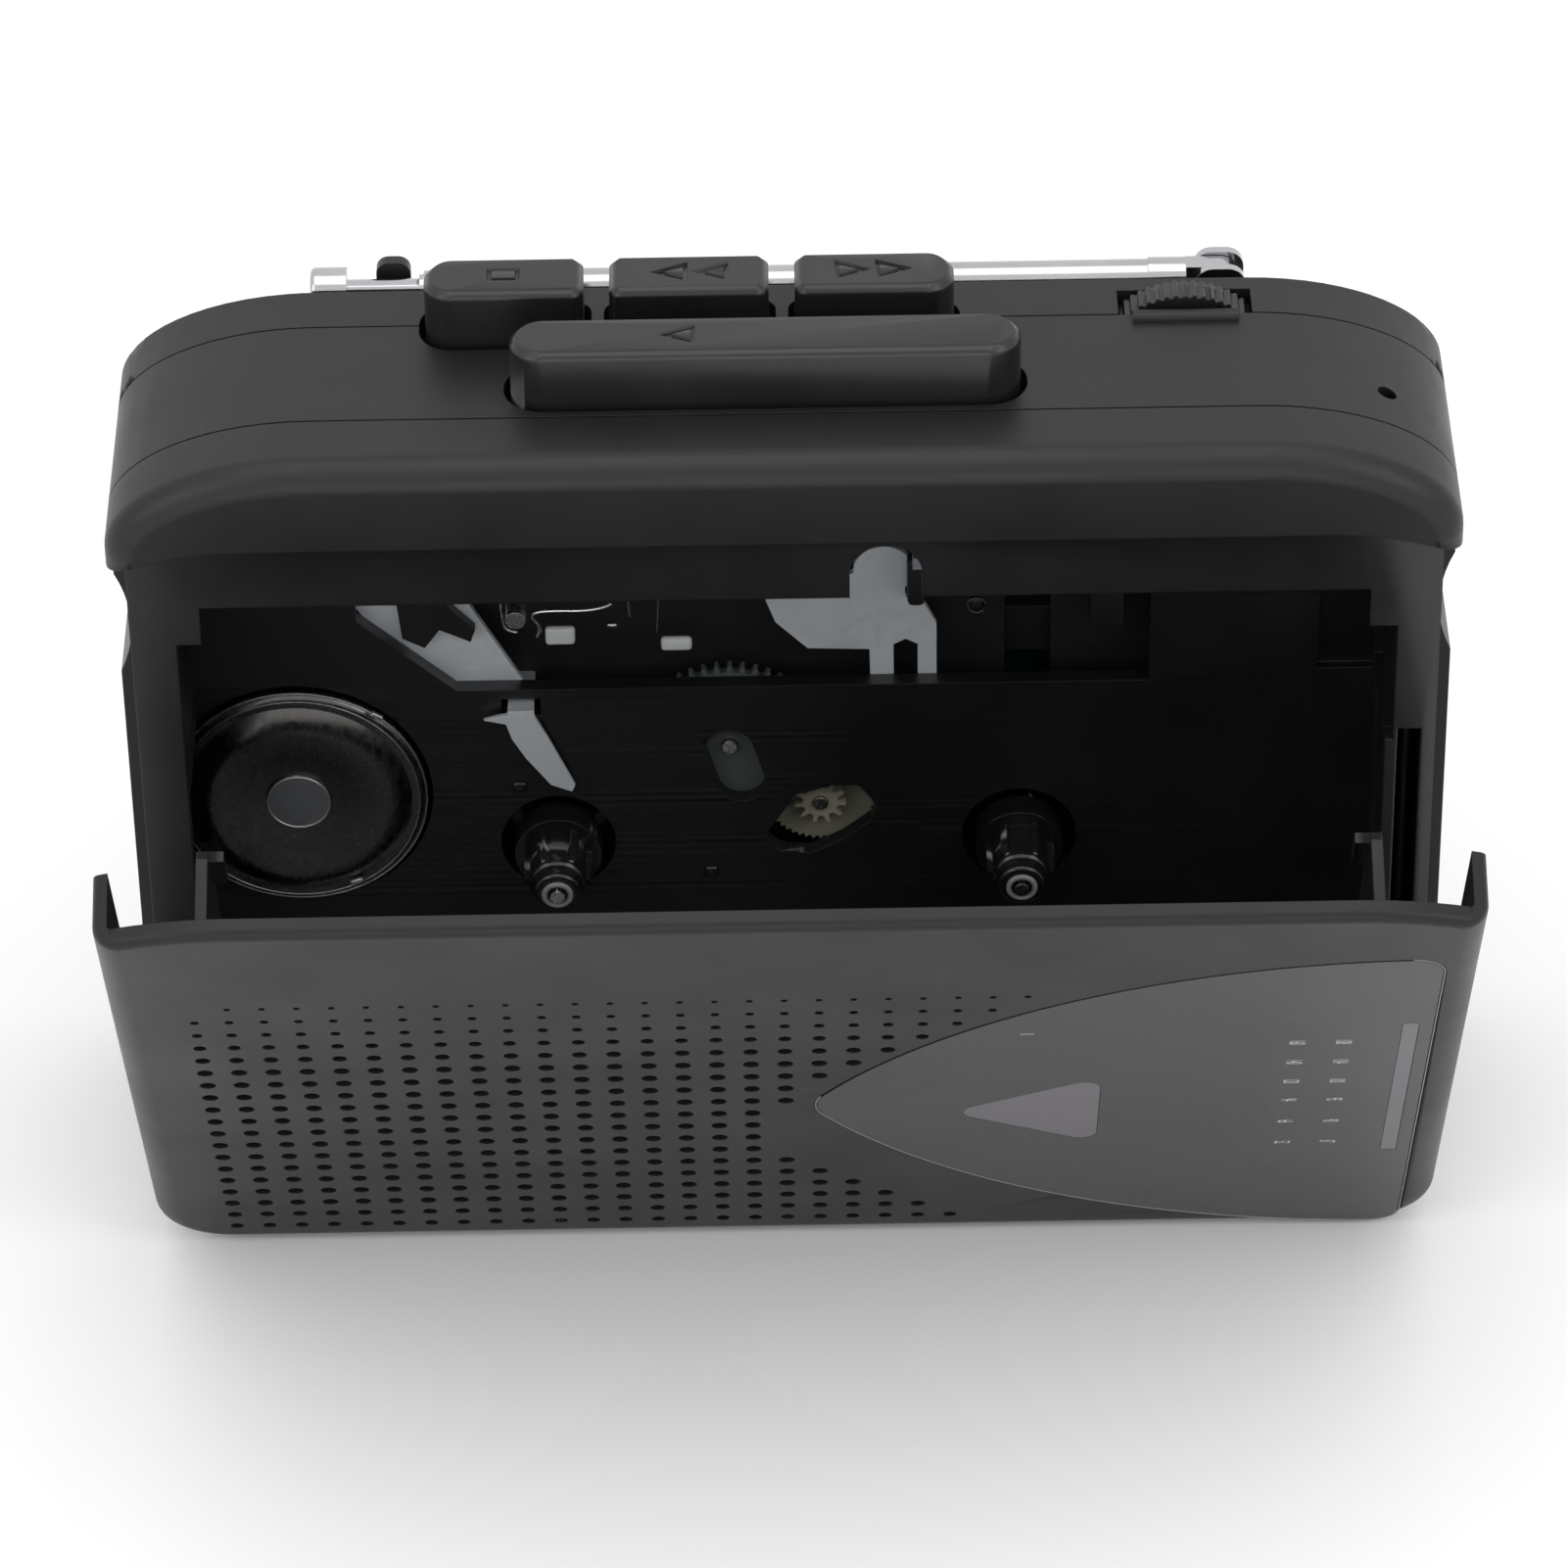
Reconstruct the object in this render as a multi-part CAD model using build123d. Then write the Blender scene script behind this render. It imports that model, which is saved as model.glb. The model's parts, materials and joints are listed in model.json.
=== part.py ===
from build123d import *
import os
from math import asin, cos, degrees, pi, radians, sin, sqrt

# A pocket-size portable cassette player with a radio, standing on its lower edge with the door open.
# Millimetres. X runs right, Y runs back, Z runs up. The origin is the centre of the base.

# Body
body_w = 119.0
half_w = body_w / 2
body_d = 36.0
body_h = 88.5
band_h = 8.5
z_band = body_h - band_h
front_seam_depth = 7.8
rear_seam_depth = body_d - 13.6
seam_gap = 0.2
wall = 2.0
top_corner_w = 18.0
top_corner_h = 9.2
low_corner_r = 7.0
front_edge_r = 2.6
rear_edge_r = 3.0
edge_r = 0.6

# Hood band, ledge and side strips
ledge_recess = 2.1
ledge_h = 7.4
strip_t = 1.7
hood_drop = 3.0
hood_flat_w = body_w - 23.0

# Cassette well
well_depth = body_d - 21.0
well_x0 = -half_w + 5.7
well_x1 = half_w - 5.4
well_low_x1 = half_w - 6.1
well_top_half = half_w - 7.9
well_top_h = 4.0
well_wall = 1.2
floor_t = 1.5
tray_top_rise = 1.5
window_x0 = -half_w + 20.7
window_x1 = half_w - 26.5
window_drop = 26.5

# Door
door_gap = 0.3
flange_reach = front_seam_depth - 0.8
door_skin = 1.8
door_side = 1.3
door_edge_r = 2.5
door_inner_r = 0.4
door_bottom_t = 1.6
door_drop = z_band - 4.8
door_wall_depth = 8.0
door_wall_half = half_w - 9.7
open_angle = 29.1
hinge_depth = 10.15
hinge_drop = z_band - 4.42
lug_r = 2.4
lug_t = 3.4
cheek_r = 6.05
hinge_pin_r = 1.2
running_gap = 0.05
cheek_gap = 0.5
guide_x = half_w - 9.1
guide_t = 1.0
guide_depth = well_depth - 2.0
guide_top_drop = ledge_h + 3.4
guide_low_drop = z_band - 11.4
guide_lip = 2.3

# Grille in the door
grille_x0 = -half_w + 7.5
grille_pitch_x = 3.02
grille_drop = 16.6
grille_pitch_z = 3.01
grille_hole_r = 0.72
grille_rows = 19
grille_columns = 25

# Smoked label insert on the door
label_x1 = half_w - 3.0
label_z_drop = 41.9
label_half_h = 32.4
label_arc_r = 61.0
label_corner_x = 1.5
label_nose_r = 5.0
label_corner_r = 3.0
bare_below = 7.8
bare_above = 1.2
label_t = 0.5
label_gap = 0.3
window_tip_x = label_x1 - 42.7
window_base_x = label_x1 - 29.0
window_half_h = 8.1
window_drop_in_label = 2.4
dial_x0 = label_x1 - 3.0
dial_x1 = label_x1 - 1.5
dial_top_drop = 24.4
dial_h = 31.1

# Keys
key_top_rise = 5.5
key_travel = 3.0
key_gap = 0.6
key_lip = 0.8
key_edge = 0.75
key_corner_r = 1.1
play_x0 = -23.8
play_x1 = 21.0
play_y0_depth = front_seam_depth + 1.4
play_y1_depth = play_y0_depth + 6.2
row_y0_depth = rear_seam_depth - 3.35
row_y1_depth = row_y0_depth + 6.15
stop_x0 = -31.5
row_key_w = 14.1
row_key_step = 16.4
mark_depth = 0.25
mark_line = 0.42
spring_r = 2.0
spring_wire_r = 0.28
spring_turns = 6
peg_r = 1.2
peg_len = 7.5
shelf_t = 1.2
shelf_z = body_h - 18.0

# Aerial
aerial_depth = body_d - 4.5
aerial_drop = 2.05
channel_depth = body_d - 8.0
channel_h = 5.3
aerial_pivot_x = half_w - 19.9
aerial_elbow_x = aerial_pivot_x - 5.7
tube_r = 1.6
tube_bore_r = 1.32
mid_tube_r = 1.27
mid_bore_r = 0.97
tip_rod_r = 0.9
tube_x0 = aerial_elbow_x - 65.9
tip_cap_x = tube_x0 - 6.9
tip_cap_len = 3.3
tip_cap_r = 2.05
fork_gap = 0.1
tongue_t = 1.8
aerial_pin_r = 0.7
clip_x = tube_x0 - 2.8
clip_w = 3.1

# Thumbwheels and their openings
volume_x = half_w - 23.5
volume_r = 8.0
volume_rise = 1.6
volume_t = 2.4
volume_depth = rear_seam_depth + 0.5
volume_notch_w = 11.9
volume_notch_depth = rear_seam_depth + 3.8
tuning_r = 9.0
tuning_z = 30.5
tuning_proud = 0.5
tuning_t = 2.4
tuning_depth = well_depth + 3.2
knurl_teeth = 60
knurl_depth = 0.25
slot_x0 = half_w - 5.0
slot_x1 = half_w - 2.9
slot_top_drop = 22.8
slot_low_drop = 58.0
pointer_h = 1.4
pointer_drop = 53.5
rail_r = 0.4
mic_x = half_w - 6.2
mic_depth = 12.7
mic_hole_r = 0.85
scoop_drop = 13.0
scoop_h = 10.7
scoop_deep = 1.2

# Tape drive
hub_spacing = 42.5
hub_drop = 44.05
hub_tip_depth = well_depth - 8.4
hub_hole_r = 5.28
post_r = 0.68
crown_r = 3.1
crown_teeth = 6
reel_r = 8.4
reel_t = 1.2
capstan_x = -24.05
capstan_drop = 13.2
capstan_r = 0.9
capstan_tip_depth = well_depth - 7.6
flywheel_r = 14.0
flywheel_t = 3.2
flywheel_depth = well_depth + 12.2
bush_r = 2.6
motor_x = -half_w + 14.6
motor_drop = 38.0
motor_r = 11.9
motor_len = 12.0
motor_face_depth = well_depth - 0.8
motor_shaft_r = 0.75
pulley_r = 3.0
belt_t = 0.8
belt_w = 1.0
groove = 1.0
chassis_depth = well_depth + 5.2
chassis_t = 1.0
head_w = 12.0
head_h = 6.6
head_deep = 7.0
head_mid_depth = well_depth - 6.1
carriage_depth = well_depth - 1.2
carriage_t = 0.8
roller_r = 3.8
roller_w = 6.0
roller_gap = 0.2
gear_module = 0.38
pinion_teeth = 11
idler_teeth = 45
idler_x = -5.3
idler_drop = 34.5
stop_gear_r = 5.3
gear_t = 0.9

# Electronics and supply
board_depth = body_d - 10.0
board_t = 1.4
board_x0 = 2.0
board_x1 = half_w - 4.5
board_z0 = 27.0
board_z1 = body_h - 8.2
jack_r = 1.8
jack_len = 12.0
jack_z = 31.0
speaker_r = 17.5
speaker_x = half_w - 36.0
speaker_z = 53.0
cell_d = 14.5
cell_len = 50.5
cell_gap = 0.45
bay_end_gap = 2.7
bay_wall = 1.2
bay_floor = 2.0
battery_door_t = 1.4
battery_door_x0 = -50.0
battery_lap = 1.3
screw_r = 1.0
screw_head_r = 1.9
boss_r = 2.8

y_front = -body_d / 2
y_back = body_d / 2
y_seam1 = y_front + front_seam_depth
y_seam2 = y_front + rear_seam_depth
y_floor = y_front + well_depth
y_ledge = y_front + ledge_recess
inner_half = half_w - wall
y_hinge = y_front + hinge_depth
z_hinge = z_band - hinge_drop
z_ledge = z_band - ledge_h
z_hub = z_band - hub_drop
slot_mid_x = (slot_x0 + slot_x1) / 2

parts = {}


def at_depth(depth):
    """Y of a plane that lies this far behind the front of the body."""
    return y_front + depth


def below_band(drop):
    """Z of a level that lies this far under the hood band's lower edge."""
    return z_band - drop


def box(x0, x1, y0, y1, z0, z1):
    """A block between two corners."""
    middle = Pos((x0 + x1) / 2, (y0 + y1) / 2, (z0 + z1) / 2)
    return middle * Box(x1 - x0, y1 - y0, z1 - z0)


def rod_y(x, z, r, y0, y1):
    """A round rod that runs from y0 back to y1."""
    return Pos(x, (y0 + y1) / 2, z) * Rot(90, 0, 0) * Cylinder(r, y1 - y0)


def rod_x(y, z, r, x0, x1):
    """A round rod that runs across the recorder."""
    return Pos((x0 + x1) / 2, y, z) * Rot(0, 90, 0) * Cylinder(r, x1 - x0)


def rod_z(x, y, r, z0, z1):
    """An upright round rod."""
    return Pos(x, y, (z0 + z1) / 2) * Cylinder(r, z1 - z0)


def profile(face, y0, y1):
    """A face drawn in (x, z) on the XY plane, stood up and extruded from y0 back to y1."""
    stood = Plane(origin=(0, y0, 0), x_dir=(1, 0, 0), z_dir=(0, -1, 0)) * face
    return extrude(stood, amount=y1 - y0, dir=(0, 1, 0))


def slab(half, z0, z1, y0, y1, r_low, top_w=edge_r, top_h=edge_r):
    """An upright rounded slab, drawn from y0 back to y1, whose upper corners are quarter ellipses."""
    z_shoulder = z1 - top_h
    edges = Line((-half, z0), (half, z0)) + Line((half, z0), (half, z_shoulder))
    edges += EllipticalCenterArc((half - top_w, z_shoulder), top_w, top_h, start_angle=0, arc_size=90)
    edges += Line((half - top_w, z1), (top_w - half, z1))
    edges += EllipticalCenterArc((top_w - half, z_shoulder), top_w, top_h, start_angle=90, arc_size=90)
    edges += Line((-half, z_shoulder), (-half, z0))
    face = make_face(edges)
    return profile(fillet(face.vertices().group_by(Axis.Y)[0], r_low), y0, y1)


def sheet(points, y0, y1):
    """A flat sheet whose outline is given as (x, z) points."""
    outline = Polyline(*[(x, y0, z) for x, z in points], close=True)
    return extrude(make_face(outline), amount=y1 - y0, dir=(0, 1, 0))


# Outer form of the closed case: every casing piece is cut from this one block
outer_form = slab(half_w, 0, body_h, y_front, y_back, low_corner_r, top_corner_w, top_corner_h)
outer_form = fillet(outer_form.faces().sort_by(Axis.Y)[0].outer_wire().edges(), front_edge_r)
outer_form = fillet(outer_form.faces().sort_by(Axis.Y)[-1].outer_wire().edges(), rear_edge_r)


def casing(y0, y1):
    """The stretch of the outer form between two seams."""
    return outer_form & box(-half_w - 1, half_w + 1, y0, y1, -1, body_h + 1)


def hollow(y0, y1, side=wall):
    """The space inside the casing, with rounded corners that keep the wall even."""
    return slab(half_w - side, wall, body_h - wall, y0, y1, low_corner_r - wall,
                top_corner_w - side, top_corner_h - wall)


# Front frame: hood band, recessed ledge and the two side strips that the door closes on
front_frame = casing(y_front, y_seam1 - seam_gap / 2)
frame_back = y_seam1 - seam_gap / 2
strip_back = y_ledge + strip_t
slot_wall = half_w - slot_x1
front_frame -= hollow(strip_back, frame_back + 1, slot_wall)
hood_half = hood_flat_w / 2
hood_run = half_w - hood_half + 1
hood_r = (hood_run ** 2 + hood_drop ** 2) / (2 * hood_drop)


def under_hood(gap, y0, y1):
    """Everything under the hood's lower edge, whose two ends drop along an arc."""
    space = box(-half_w - 1, half_w + 1, y0, y1, -1, z_band - gap)
    for side in (-1, 1):
        x_low, x_high = sorted((side * hood_half, side * (half_w + 1)))
        end = box(x_low, x_high, y0, y1, z_band - 2 * hood_drop - gap, z_band - gap)
        space -= end - rod_y(side * hood_half, z_band - hood_r, hood_r - gap, y0, y1)
    return space


front_frame -= under_hood(0, y_front - 1, y_ledge)
step_y = y_seam1
side_step = door_side + door_gap
door_sweep_top = below_band(door_drop) + door_bottom_t + door_gap
strip_keep = slab(half_w - side_step, door_sweep_top, z_band + 1, y_front - 2, step_y + 1,
                  low_corner_r - side_step)
front_frame -= under_hood(0, y_front - 1, step_y) - strip_keep
scoop_r = ((scoop_h / 2) ** 2 + scoop_deep ** 2) / (2 * scoop_deep)
scoop_z = below_band(scoop_drop)
scoop_mid_x = half_w - scoop_deep + scoop_r
scoops = [rod_y(side * scoop_mid_x, scoop_z, scoop_r, step_y, y_back) for side in (-1, 1)]
front_frame -= scoops
well_step_z = z_ledge - well_top_h
front_frame -= box(-well_top_half, well_top_half, y_front, frame_back + 1, well_step_z - 1, z_ledge)
step_z = below_band(24.0)
front_frame -= box(well_x0, well_low_x1, y_front, frame_back + 1, -1, well_step_z)
front_frame -= box(well_x0, well_x1, y_front, frame_back + 1, step_z, well_step_z)
notch_x = 8.9
notch_r = 3.2
notch_top = below_band(1.75)
latch_notch = box(notch_x - notch_r, notch_x + notch_r, y_front, strip_back + 1, z_ledge - 1,
                  notch_top - notch_r)
latch_notch += rod_y(notch_x, notch_top - notch_r, notch_r, y_front + ledge_recess / 2, strip_back + 1)
front_frame -= latch_notch & box(-half_w, half_w, y_ledge - 1, strip_back + 1, 0, z_band)
front_frame -= box(slot_x0, slot_x1, y_front, strip_back + 1, below_band(slot_low_drop),
                   below_band(slot_top_drop))
cheek_x0 = door_wall_half + cheek_gap
door_sweep = box(-half_w - 1, half_w + 1, y_front - 1, y_hinge, -1, door_sweep_top)
door_sweep -= rod_x(y_hinge, z_hinge, cheek_r, cheek_x0, half_w + 1)
door_sweep -= rod_x(y_hinge, z_hinge, cheek_r, -half_w - 1, -cheek_x0)
front_frame -= door_sweep
parts["front_frame"] = front_frame


def key_prism(x0, x1, y0, y1, r_left, r_right, z0, z1, grow=0.0):
    """An upright key form with its own rounding at each end, grown on all sides by a margin."""
    solid = box(x0 - grow, x1 + grow, y0 - grow, y1 + grow, z0, z1)
    solid = fillet(solid.edges().filter_by(Axis.Z).group_by(Axis.X)[0], r_left + grow)
    return fillet(solid.edges().filter_by(Axis.Z).group_by(Axis.X)[-1], r_right + grow)


play_half_d = (play_y1_depth - play_y0_depth) / 2
row_y0 = at_depth(row_y0_depth)
row_y1 = at_depth(row_y1_depth)
row_half_d = (row_y1_depth - row_y0_depth) / 2
key_forms = {
    "play_key": (play_x0, play_x1, at_depth(play_y0_depth), at_depth(play_y1_depth),
                 play_half_d - 0.15, play_half_d - 0.15),
}
row_ends = {
    "stop_key": (row_half_d - 0.6, key_corner_r),
    "fast_forward_key": (key_corner_r, key_corner_r),
    "rewind_key": (key_corner_r, row_half_d - 0.6),
}
for number, (key_name, ends) in enumerate(row_ends.items()):
    x_left = stop_x0 + number * row_key_step
    key_forms[key_name] = (x_left, x_left + row_key_w, row_y0, row_y1, *ends)
key_pockets = [key_prism(*form, body_h - wall - 1, body_h + 1, key_gap) for form in key_forms.values()]

# Middle frame: key pockets in its top, a finger scoop in each side, hinge cheeks at its foot
middle_y0 = y_seam1 + seam_gap / 2
middle_y1 = y_seam2 - seam_gap / 2
middle_frame = casing(middle_y0, middle_y1)
middle_frame -= hollow(middle_y0 - 1, middle_y1 + 1)
for pocket in key_pockets:
    middle_frame -= pocket
middle_frame -= scoops
mic_y = at_depth(mic_depth)
middle_frame -= rod_z(mic_x, mic_y, mic_hole_r, body_h - top_corner_h - wall, body_h)
volume_lip_w = volume_notch_w - 2.4
lip_y1 = middle_y1 - 0.1
middle_frame += box(volume_x - volume_lip_w / 2, volume_x + volume_lip_w / 2, lip_y1 - 0.9, lip_y1,
                    body_h - wall / 2, body_h + 0.6)
tuning_x = half_w + tuning_proud - tuning_r
tuning_y0 = at_depth(tuning_depth)
wheel_gap = 0.5
tuning_slot_half = sqrt(tuning_r ** 2 - (inner_half - tuning_x) ** 2) + wheel_gap
middle_frame -= box(inner_half - 1, half_w + 1, tuning_y0 - wheel_gap, tuning_y0 + tuning_t + wheel_gap,
                    tuning_z - tuning_slot_half, tuning_z + tuning_slot_half)
mouth_y = at_depth(well_depth - wall)
middle_frame -= box(-cheek_x0, cheek_x0, middle_y0 - 1, mouth_y, -1, wall + 1)
cheek_x1 = inner_half + 0.5
cheek_back = y_floor - 0.3
cheek_top = z_hinge + cheek_r / 2
for side in (-1, 1):
    x_low, x_high = (cheek_x0, cheek_x1) if side > 0 else (-cheek_x1, -cheek_x0)
    cheek = rod_x(y_hinge, z_hinge, cheek_r, x_low, x_high)
    cheek += box(x_low, x_high, y_hinge, cheek_back, wall / 2, cheek_top)
    cheek &= casing(middle_y0, cheek_back)
    middle_frame += cheek
    middle_frame -= rod_x(y_hinge, z_hinge, hinge_pin_r, *sorted((side * cheek_x0 - side,
                                                                  side * (cheek_x0 + 4.0))))
front_clear = box(-half_w - 1, half_w + 1, middle_y0 - 1, y_hinge, -1, door_sweep_top)
front_clear -= rod_x(y_hinge, z_hinge, cheek_r, -half_w - 1, half_w + 1)
middle_frame -= front_clear
parts["middle_frame"] = middle_frame

# Hinge pins, pressed into the cheeks and free to turn in the door's lugs
parts["hinge_pins"] = Compound(children=[
    rod_x(y_hinge, z_hinge, hinge_pin_r, cheek_x0 - lug_t - 0.3, cheek_x0 + 3.4),
    rod_x(y_hinge, z_hinge, hinge_pin_r, -cheek_x0 - 3.4, -cheek_x0 + lug_t + 0.3),
])

# Rear shell: other half of the row of key pockets, volume notch, aerial step, battery opening
y_channel = at_depth(channel_depth)
z_channel = body_h - channel_h
y_back_in = y_back - wall - 0.2
rear_y0 = y_seam2 + seam_gap / 2
rear_shell = casing(rear_y0, y_back)
channel_cut = box(-half_w - 1, half_w + 1, y_channel, y_back + 1, z_channel, body_h + 1)
rear_shell -= channel_cut
rear_shell -= hollow(rear_y0 - 1, y_channel - wall + 0.4)
rear_shell -= hollow(rear_y0 - 1, y_back_in) & box(-half_w, half_w, rear_y0 - 1, y_back_in,
                                                  0, z_channel - wall)
for pocket in key_pockets:
    rear_shell -= pocket
rear_shell -= box(volume_x - volume_notch_w / 2, volume_x + volume_notch_w / 2, rear_y0 - 1,
                  at_depth(volume_notch_depth), body_h - wall - 1, body_h + 1)
volume_z = body_h + volume_rise - volume_r
volume_y0 = at_depth(volume_depth)
volume_y1 = volume_y0 + volume_t
rear_shell -= rod_y(volume_x, volume_z, volume_r + 0.4, volume_y0 - 0.4, volume_y1 + 0.4)
clip_y0 = at_depth(aerial_depth) + mid_tube_r + 0.2
clip = box(clip_x - clip_w / 2, clip_x + clip_w / 2, clip_y0, clip_y0 + 1.2, z_channel - 0.5, body_h - 0.3)
rear_shell += fillet(clip.edges().filter_by(Axis.Y).group_by(Axis.Z)[-1], clip_w / 2 - 0.4)

cell_room = cell_d + 2 * cell_gap
bay_half = cell_len + bay_end_gap
bay_z0 = wall + bay_floor
bay_z1 = bay_z0 + cell_room
battery_door_y0 = y_back - battery_door_t
bay_y1 = battery_door_y0 - 0.2
bay_y0 = bay_y1 - cell_room
cover_z0 = bay_z0 - battery_lap
cover_z1 = bay_z1 + battery_lap
cover_gap = 0.2
rear_shell -= box(battery_door_x0 - cover_gap, half_w + 1, battery_door_y0 - cover_gap, y_back + 1,
                  cover_z0 - cover_gap, cover_z1 + cover_gap)
rear_shell -= box(-bay_half + wall, bay_half - wall, y_back_in - 1, y_back, bay_z0, bay_z1)

screw_top = (half_w - 11.5, body_h - 12.5)
screw_places = [(-30.0, 24.0), (30.0, 24.0), (-screw_top[0], screw_top[1]), screw_top]
for x, z in screw_places:
    boss = rod_y(x, z, boss_r, rear_y0 + 4, y_back_in + 0.5)
    boss &= hollow(rear_y0, y_back)
    rear_shell += boss
    rear_shell -= rod_y(x, z, screw_r, rear_y0, y_back + 1)
    rear_shell -= rod_y(x, z, screw_head_r + 0.3, y_back_in + 0.4, y_back + 1)
speaker_grille = []
ring_pitch = 3.0
for ring in range(5):
    for step in range(max(1, 6 * ring)):
        turn = 2 * pi * step / max(1, 6 * ring)
        speaker_grille.append(rod_y(speaker_x + ring * ring_pitch * cos(turn),
                                    speaker_z + ring * ring_pitch * sin(turn),
                                    0.8, y_back_in - 1, y_back + 1))
rear_shell -= speaker_grille
jack_y = at_depth(board_depth + board_t) + 3.0
rear_shell -= rod_x(jack_y, jack_z, jack_r + 1.3, inner_half - 2, half_w + 1)
knob_z = 60.0
knob_travel = 3.0
knob_h = 5.0
knob_w = 2.6
knob_y = at_depth(board_depth + board_t) + 2.0
rear_shell -= box(inner_half - 1, half_w + 1, knob_y - knob_w / 2 - 0.3, knob_y + knob_w / 2 + 0.3,
                  knob_z - knob_h / 2 - 0.4, knob_z + knob_h / 2 + 2 * knob_travel + 0.4)
parts["rear_shell"] = rear_shell

# Case screws, sunk in the back
case_screws = []
for x, z in screw_places:
    head_y1 = y_back - 0.4
    screw = rod_y(x, z, screw_head_r, head_y1 - 1.1, head_y1)
    screw += rod_y(x, z, screw_r - 0.05, head_y1 - 9.0, head_y1 - 1)
    screw -= box(x - 1.2, x + 1.2, head_y1 - 0.6, head_y1 + 1, z - 0.2, z + 0.2)
    screw -= box(x - 0.2, x + 0.2, head_y1 - 0.6, head_y1 + 1, z - 1.2, z + 1.2)
    case_screws.append(screw)
parts["case_screws"] = Compound(children=case_screws)

# Battery door: slides off to the right along the back
battery_door = outer_form & box(battery_door_x0, half_w + 1, battery_door_y0, y_back + 1, cover_z0, cover_z1)
for rib in range(5):
    battery_door -= box(34.0 + 2.0 * rib, 35.0 + 2.0 * rib, y_back - 0.4, y_back + 1,
                        cover_z0 + 5, cover_z1 - 5)
parts["battery_door"] = battery_door

# Battery tray: an open-backed box for two cells end to end
battery_tray = box(-bay_half - bay_wall, bay_half + bay_wall, bay_y0 - bay_wall, y_back_in - 0.1,
                   wall, bay_z1 + bay_wall)
battery_tray -= box(-bay_half, bay_half, bay_y0, y_back_in + 1, bay_z0, bay_z1)
battery_tray &= hollow(bay_y0 - bay_wall - 1, y_back_in)
parts["battery_tray"] = battery_tray

# Battery contacts: a plate at each end and the spring at the left one
cell_y = (bay_y0 + bay_y1) / 2
cell_z = (bay_z0 + bay_z1) / 2
contact_t = 0.4
contacts = [
    box(-bay_half + 0.05, -bay_half + 0.05 + contact_t, cell_y - 5, cell_y + 5, cell_z - 6, cell_z + 6),
    box(bay_half - 0.05 - contact_t, bay_half - 0.05, cell_y - 5, cell_y + 5, cell_z - 6, cell_z + 6),
]
button = rod_x(cell_y, cell_z, 2.4, bay_half - 0.05 - contact_t - 0.8, bay_half - 0.05 - contact_t / 2)
contacts[1] = contacts[1] + button
coil_path = Helix(pitch=1.0, height=2.0, radius=3.4)
coil = sweep(Plane(origin=coil_path @ 0, z_dir=coil_path % 0) * Circle(0.3), path=coil_path)
coil = Pos(-bay_half + contact_t + 0.3, cell_y, cell_z) * Rot(0, 90, 0) * coil
contacts[0] = contacts[0] + coil
parts["battery_contacts"] = Compound(children=contacts)

# Well tray: the ribbed floor behind the cassette and the walls at its two sides
tray_top = z_ledge + tray_top_rise
tray_half = inner_half - 0.2
floor_y1 = y_floor + floor_t
well_tray = slab(tray_half, wall + 0.1, tray_top, y_floor, floor_y1, low_corner_r - wall)
wall_z0 = z_hinge + cheek_r + 0.5
wall_y0 = strip_back + 0.2
well_tray += box(well_x0 - well_wall, well_x0, wall_y0, y_floor + 0.5, wall_z0, well_step_z - 0.3)
pointer_half = (slot_x1 - slot_x0) / 2 - 0.3
upper_wall_x1 = slot_mid_x - pointer_half - 0.25
well_tray += box(well_x1, upper_wall_x1, wall_y0, y_floor + 0.5, step_z - 1, well_step_z - 0.3)
well_tray += box(well_low_x1, well_low_x1 + well_wall, wall_y0, y_floor + 0.5, wall_z0, step_z)
window_z = below_band(window_drop)
window_slant = 8.8
mechanism_window = sheet([
    (window_x0 + window_slant, window_z),
    (window_x1, window_z),
    (window_x1, tray_top + 1),
    (window_x0, tray_top + 1),
    (window_x0, window_z + 8.0),
], y_floor - 1, floor_y1 + 1)
well_tray -= mechanism_window
motor_z = below_band(motor_drop)
well_tray -= rod_y(motor_x, motor_z, motor_r + 0.4, y_front, floor_y1 + 1)
hub_x = hub_spacing / 2
for side in (-1, 1):
    well_tray -= rod_y(side * hub_x, z_hub, hub_hole_r, y_floor - 1, floor_y1 + 1)
idler_z = below_band(idler_drop)
slot_one = make_hull((Pos(idler_x, idler_z + 0.8) * Circle(2.2)).edges()
                     + (Pos(idler_x + 1.1, idler_z - 3.0) * Circle(2.2)).edges())
well_tray -= profile(slot_one, y_floor - 1, floor_y1 + 1)
pitch_sum = gear_module * (pinion_teeth + idler_teeth) / 2
stop_gear_z = below_band(41.2)
stop_gear_x = idler_x + sqrt(pitch_sum ** 2 - (idler_z - stop_gear_z) ** 2)
slot_two = sheet([(stop_gear_x - 5.3, stop_gear_z - 2.8), (stop_gear_x - 2.3, stop_gear_z + 2.1),
                  (stop_gear_x + 1.0, stop_gear_z + 3.2), (stop_gear_x + 3.6, stop_gear_z + 3.1),
                  (stop_gear_x + 5.2, stop_gear_z + 0.8), (stop_gear_x + 4.7, stop_gear_z - 0.9),
                  (stop_gear_x + 2.0, stop_gear_z - 3.1), (stop_gear_x - 0.9, stop_gear_z - 4.7),
                  (stop_gear_x - 3.8, stop_gear_z - 4.3)],
                 y_floor - 1, floor_y1 + 1)
well_tray -= fillet(slot_two.edges().filter_by(Axis.Y), 0.8)
recess_z1 = below_band(17.0)
well_tray -= box(well_low_x1 - 5.1, well_low_x1, y_floor - 1, y_floor + 0.8, recess_z1 - 8.5, recess_z1)
lever_slot_z = z_hub + 14.6
well_tray -= box(-26.0, -22.4, y_floor - 1, floor_y1 + 1, lever_slot_z, lever_slot_z + 1.9)
parts["well_tray"] = well_tray

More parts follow.
